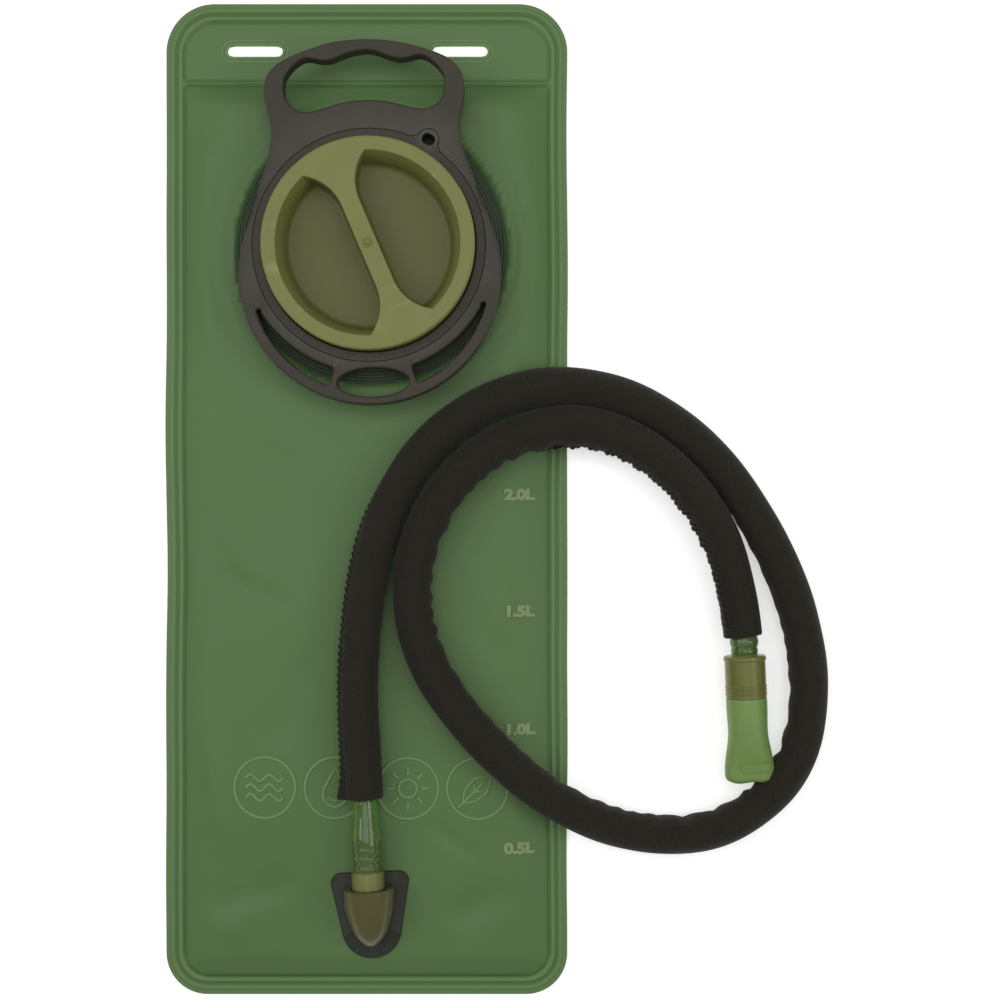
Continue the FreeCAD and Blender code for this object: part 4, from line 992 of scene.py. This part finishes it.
        # Ribs and the bar lighter as painted highlight, grooves darker as painted shade.
        light = 0.45 + 0.55 * (bump(edge, *RIB_OUTER) + bump(edge, *RIB_INNER))
        light += 0.20 * bump(edge, -0.0005, 0.0017)
        light -= 0.50 * bump(edge, *RIB_GROOVE)
        light -= 0.60 * (bump(pocket, -0.0007, 0.0007) + bump(tab, -0.0007, 0.0007))
        light += 0.30 * bump(y, 0.1758, 0.1770) * (abs(x) < BAR_HALF_LENGTH)
        if tab > 0.0 or pocket < 0.0:
            light += 0.15
        return min(1.0, max(0.0, light))

    @staticmethod
    def spaced(stops: Sequence[tuple[float, float]], pitch: float) -> list[float]:
        """Grid lines between stops.

        Args:
            stops: (place, pitch up to the next stop) pairs, in order.
            pitch: a factor on every pitch.

        Returns:
            The places of the lines.
        """
        lines = []
        for (low, gap), (high, _) in zip(stops, stops[1:]):
            count = max(1, round((high - low) / (gap * pitch)))
            lines += [low + (high - low) * step / count for step in range(count)]
        return lines + [stops[-1][0]]

    def rounded_spot(self, x: float, y: float) -> tuple[float, float]:
        """Move a spot of the square grid so that the grid's corners follow the bag's."""
        corner = self.outline.top_corner if y > 0 else self.outline.bottom_corner
        over_x = (abs(x) - self.half_width + corner) / corner
        over_y = (abs(y) - self.half_length + corner) / corner
        if over_x > 0.0 and over_y > 0.0:
            squeezed = over_x * math.sqrt(1.0 - over_y * over_y / 2)
            over_y *= math.sqrt(1.0 - over_x * over_x / 2)
            x = math.copysign(self.half_width - corner + corner * squeezed, x)
            y = math.copysign(self.half_length - corner + corner * over_y, y)
        return x, y

    def grid(self, pitch: float) -> bmesh.types.BMesh:
        """Make the flat grid of a film, close at the welds, with its slots open."""
        border = [(-0.085, 0.00045), (-0.077, 0.0011), (-0.062, 0.0019), (0.062, 0.0011),
                  (0.077, 0.00045), (0.085, 0.0)]
        rows = [(-0.210, 0.00045), (-0.202, 0.0010), (-0.192, 0.0019), (0.166, 0.0010),
                (0.1745, 0.00045), (0.1782, 0.0011), (0.1868, 0.0008), (0.1932, 0.0011),
                (0.2020, 0.00045), (0.210, 0.0)]
        across, along = self.spaced(border, pitch), self.spaced(rows, pitch)
        bm = bmesh.new()
        bmesh.ops.create_grid(bm, x_segments=len(across) - 1, y_segments=len(along) - 1, size=1.0)
        for vert in bm.verts:
            column = round((vert.co.x + 1.0) / 2 * (len(across) - 1))
            row = round((vert.co.y + 1.0) / 2 * (len(along) - 1))
            x, y = self.rounded_spot(across[column], along[row])
            vert.co = (x, y, 0.0)
        for hole in self.slots:
            self.open_hole(bm, hole, 0.0003)
        return bm

    @staticmethod
    def open_hole(bm: bmesh.types.BMesh, hole: Hole, margin: float) -> None:
        """Cut a hole in a flat grid and draw its new edge onto the rim."""
        inside = [vert for vert in bm.verts
                  if hole.nearest(vert.co.x, vert.co.y)[2] > margin]
        touched = {other for vert in inside for face in vert.link_faces for other in face.verts}
        touched.difference_update(inside)
        bmesh.ops.delete(bm, geom=inside, context="VERTS")
        for vert in touched:
            if vert.is_valid and vert.is_boundary:
                x, y, _ = hole.nearest(vert.co.x, vert.co.y)
                vert.co = (x, y, 0.0)

    def wavy(self, x: float, y: float) -> float:
        """Sideways wander of the bag's long edges."""
        share = smoothstep(0.055, 0.085, abs(x))
        return share * 0.0007 * noise.noise(Vector((y * 16.0, math.copysign(2.0, x), 0.0)))

    def film_object(self, name: str, bm: bmesh.types.BMesh) -> bpy.types.Object:
        """Give a film its tint map, with painted highlights and painted shade, and its thickness.
        """
        bmesh.ops.recalc_face_normals(bm, faces=bm.faces)
        if sum(face.normal.z for face in bm.faces) < 0:
            bmesh.ops.reverse_faces(bm, faces=bm.faces)
        tint_and_painted_light_values = [self.tint_and_painted_light(vert.co.x, vert.co.y) for vert in bm.verts]
        film = make_object(name, bm, self.palette["film"])
        layer = film.data.attributes.new("tint_and_painted_light", "FLOAT", "POINT")
        layer.data.foreach_set("value", tint_and_painted_light_values)
        for vert in film.data.vertices:
            vert.co.x += self.wavy(vert.co.x, vert.co.y)
        wall = film.modifiers.new("wall", "SOLIDIFY")
        wall.thickness = self.film * 0.98
        wall.offset = -1.0
        return film

    def front(self) -> bpy.types.Object:
        """Make the front film with its pocket, welds and creases."""
        bm = self.grid(1.0)
        self.open_hole(bm, self.port, 0.0006)
        for vert in bm.verts:
            vert.co.z = self.height(vert.co.x, vert.co.y)
        film = self.film_object("front_film", bm)
        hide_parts("front_panel")
        return place(film, Body.ROOT)

    def back(self) -> bpy.types.Object:
        """Make the flat back film."""
        bm = self.grid(1.6)
        for vert in bm.verts:
            vert.co.z = self.film
        film = self.film_object("back_film", bm)
        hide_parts("back_panel")
        return place(film, Body.ROOT)

    def laid_on(self, bm: bmesh.types.BMesh, flatten: float, sink: float) -> None:
        """Lay flat shapes on the front film, following its face."""
        for vert in bm.verts:
            vert.co.z = vert.co.z * flatten - sink + self.height(vert.co.x, vert.co.y)
            vert.co.x += self.wavy(vert.co.x, vert.co.y)

    def slot_rims(self) -> bpy.types.Object:
        """Make the raised rims round both hanging slots."""
        beads = []
        for slot in self.slots:
            for gap, radius in ((0.00055, 0.0006), (0.0021, 0.00035)):
                beads.append(sweep_line(slot.rim(gap), radius, closed=True))
        bm = join_meshes(beads)
        self.laid_on(bm, 0.8, 0.0001)
        return place(make_object("slot_rims", bm, self.palette["weld"]), Body.ROOT)

    def volume_marks(self) -> bpy.types.Object:
        """Emboss the volume marks down the right side."""
        parts = []
        for label, y in (("2.0L", 0.0017), ("1.5L", -0.0475), ("1.0L", -0.0972),
                         ("0.5L", -0.1473)):
            data = bpy.data.curves.new("mark", "FONT")
            data.body = label
            data.size = 0.0060
            data.extrude = 0.00032
            data.offset = 0.00034
            data.bevel_depth = 0.00010
            data.align_x, data.align_y = "CENTER", "CENTER"
            bm = curve_bmesh(data)
            bmesh.ops.scale(bm, verts=bm.verts, vec=(1.22, 1.0, 1.0))
            bmesh.ops.translate(bm, verts=bm.verts, vec=(0.0646, y, 0.0))
            parts.append(bm)
        bm = join_meshes(parts)
        bmesh.ops.remove_doubles(bm, verts=bm.verts, dist=1e-7)
        bmesh.ops.recalc_face_normals(bm, faces=bm.faces)
        self.laid_on(bm, 1.0, -0.0001)
        marks = make_object("volume_marks", bm, self.palette["mark"], smooth=False)
        return place(marks, Body.ROOT)

    def badges(self) -> bpy.types.Object:
        """Emboss four round badges with plain signs: waves, a drop, a sun and a leaf."""
        centres = ((-0.0425, -0.1214), (-0.0128, -0.1216), (0.0176, -0.1219), (0.0470, -0.1220))
        radius = 0.0128
        beads = []
        for centre, strokes in zip(centres, badge_strokes()):
            for closed, stroke in strokes:
                spots = [Vector((centre[0] + x * radius, centre[1] + y * radius, 0.0))
                         for x, y in stroke]
                beads.append(sweep_line(spots, 0.00082, closed=closed, sides=1))
        bm = join_meshes(beads)
        self.laid_on(bm, 0.75, 0.0001)
        return place(make_object("round_badges", bm, self.palette["weld"]), Body.ROOT)

    def build(self) -> None:
        """Build the bag's two films and their trim."""
        front, back = self.front(), self.back()
        trim = [self.slot_rims(), self.volume_marks(), self.badges()]


def circle_stroke(x: float, y: float, radius: float, steps: int,
                  start: float = 0.0, turn: float = 360.0) -> list[tuple[float, float]]:
    """Points of a circle, or of a part of one."""
    count = steps if turn == 360.0 else steps + 1
    angles = [math.radians(start + turn * step / steps) for step in range(count)]
    return [(x + radius * math.cos(angle), y + radius * math.sin(angle)) for angle in angles]


def badge_strokes() -> list[list[tuple[bool, list[tuple[float, float]]]]]:
    """Strokes of the four badges, on a unit circle, each with whether it is closed."""
    ring = (True, circle_stroke(0, 0, 1.0, 72))
    waves = [(False, [(-0.62 + 0.062 * step, level + 0.12 * math.sin(step * math.pi / 5))
                      for step in range(21)]) for level in (0.32, 0.0, -0.32)]
    drop = [(-0.40, -0.22)] + circle_stroke(0, -0.22, 0.40, 16, 180.0, 180.0)
    drop += [(0.40, -0.20), (0.34, 0.02), (0.18, 0.32), (0.0, 0.66), (-0.18, 0.32), (-0.34, 0.02)]
    glint = circle_stroke(0, -0.22, 0.20, 8, 200.0, 90.0)
    rays = [(False, [(0.44 * math.cos(a), 0.44 * math.sin(a)), (0.70 * math.cos(a),
                                                                0.70 * math.sin(a))])
            for a in (step * math.tau / 8 for step in range(8))]
    leaf = [(-0.50, -0.50), (-0.42, -0.05), (-0.12, 0.32), (0.50, 0.50), (0.32, -0.12),
            (-0.05, -0.42)]
    veins = [(False, [(-0.62, -0.62), (0.22, 0.22)]), (False, [(-0.12, -0.12), (-0.10, 0.14)]),
             (False, [(-0.12, -0.12), (0.14, -0.10)])]
    return [[ring] + waves, [ring, (True, drop), (False, glint)],
            [ring, (True, circle_stroke(0, 0, 0.30, 28))] + rays, [ring, (True, leaf)] + veins]


# ------------------------------------------------------------------ cap and valve
@dataclass
class CapTrim:
    """Small moulded marks on the screw cap."""

    palette: Palette
    neck: tuple[float, float] = NECK
    top: float = 0.0285

    def nub(self) -> bpy.types.Object:
        """Make the moulding's gate mark at the middle of the bar."""
        profile = [(0.0, 0.0012), (0.0007, 0.0011), (0.0012, 0.0006), (0.0013, 0.0001),
                   (0.0016, 0.0001), (0.0018, 0.0003), (0.0021, 0.0003), (0.0023, 0.0),
                   (0.0023, -0.0004), (0.0, -0.0004)]
        bm = spin_profile(rounded(profile, 0.0002), 40)
        bmesh.ops.rotate(bm, verts=bm.verts, cent=(0, 0, 0),
                         matrix=Matrix.Rotation(math.pi / 2, 3, "X"))
        bmesh.ops.translate(bm, verts=bm.verts, vec=(*self.neck, self.top))
        bmesh.ops.recalc_face_normals(bm, faces=bm.faces)
        return place(make_object("cap_nub", bm, self.palette["olive"]), Body.CAP)


@dataclass
class BiteSleeve:
    """The soft mouthpiece: round at the ring, flattened towards the lips."""

    palette: Palette
    start: float = -0.0198
    length: float = 0.0357
    waist: float = 0.0086
    flare: float = 0.0104
    flat: float = 0.52

    def radius(self, share: float) -> float:
        """Half width at a share of the length."""
        grow = smoothstep(0.42, 0.86, share)
        lip = math.sqrt(max(0.0, 1.0 - max(0.0, (share - 0.91) / 0.09) ** 2))
        neck = 0.0003 * math.exp(-((share - 0.36) / 0.16) ** 2)
        return (self.waist + (self.flare - self.waist) * grow - neck) * (0.70 + 0.30 * lip)

    def squash(self, share: float) -> float:
        """Thickness over width at a share of the length."""
        return 1.0 - (1.0 - self.flat) * smoothstep(0.30, 0.92, share)

    def shell(self) -> bpy.types.Object:
        """Make the mouthpiece."""
        count = 44
        profile = [(0.0, 0.0), (self.waist * 0.93, 0.0), (self.waist * 0.99, -0.0004)]
        profile += [(self.radius(step / count), -self.length * step / count)
                    for step in range(1, count + 1)]
        profile += [(self.flare * 0.45, -self.length + 0.0001),
                    (self.flare * 0.30, -self.length + 0.0012), (0.0, -self.length + 0.0016)]
        bm = spin_profile(profile, 72)
        for vert in bm.verts:
            share = -vert.co.y / self.length
            vert.co.z *= self.squash(share)
            lip = smoothstep(0.80, 1.0, share)
            notch = math.exp(-((vert.co.x - 0.0006) / 0.0034) ** 2)
            corner = (abs(vert.co.x) / self.flare) ** 3
            vert.co.y += lip * (0.0007 * notch + 0.0005 * corner)
        bmesh.ops.translate(bm, verts=bm.verts, vec=(0, self.start, 0))
        bmesh.ops.transform(bm, matrix=valve_axis(), verts=bm.verts)
        shell = make_object("bite_shell", bm, self.palette["bite"])
        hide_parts("bite_sleeve")
        return place(shell, Body.VALVE)

    def surface(self, x: float, y: float) -> float:
        """Height of the mouthpiece's face above its axis."""
        share = (self.start - y) / self.length
        half = self.radius(share)
        return self.squash(share) * math.sqrt(max(0.0, half * half - x * x))

    def detail(self, name: str, bm: bmesh.types.BMesh, key: str) -> bpy.types.Object:
        """Move a mesh to the valve's place and let it ride there."""
        bmesh.ops.transform(bm, matrix=valve_axis(), verts=bm.verts)
        return place(make_object(name, bm, self.palette[key]), Body.VALVE)

    def frame_mark(self) -> bpy.types.Object:
        """Make the small blank frame moulded near the lips."""
        left, right, low, high = -0.0040, 0.0078, -0.0507, -0.0466
        corners = [(left, low), (right, low), (right, high), (left, high)]
        spots = []
        for (x0, y0), (x1, y1) in zip(corners, corners[1:] + corners[:1]):
            for step in range(1, 10):
                x, y = x0 + (x1 - x0) * step / 10, y0 + (y1 - y0) * step / 10
                spots.append(Vector((x, y, self.surface(x, y))))
        bm = sweep_line(spots, 0.00040, closed=True, sides=1)
        return self.detail("bite_frame", bm, "bite")

    def slit(self) -> bpy.types.Object:
        """Make the mouth's slit as a dark bead: painted shade where the cut opens."""
        spots = [Vector((-0.0050 + 0.0010 * step, self.start - self.length + 0.0013, 0.0))
                 for step in range(11)]
        bm = sweep_line(spots, 0.0003, closed=False, sides=1)
        return self.detail("bite_slit_shade", bm, "slit")

    def build(self) -> list[bpy.types.Object]:
        """Build the mouthpiece."""
        return [self.shell(), self.frame_mark(), self.slit()]


def valve_axis() -> Matrix:
    """The valve's own place: its mouth points along -Y."""
    return turned(Vector((0.1589, -0.0633, 0.0106)), VALVE_TURN)


# ------------------------------------------------------------------ everything
def main() -> None:
    """Build every sub-assembly in order."""
    logging.basicConfig(level=logging.INFO, format="%(message)s")
    palette = Palette()
    dress_nodes(palette)
    Stage().camera()
    line = HoseLine()
    LOG.info("hose line %.1f mm", line.length / MM)
    tube, *hose_pieces = Hose(palette, line).build()
    bite_pieces = BiteSleeve(palette).build()
    Reservoir(palette, line).build()
    CapTrim(palette).nub()
    Stage().build()


if __name__ == "__main__":
    main()
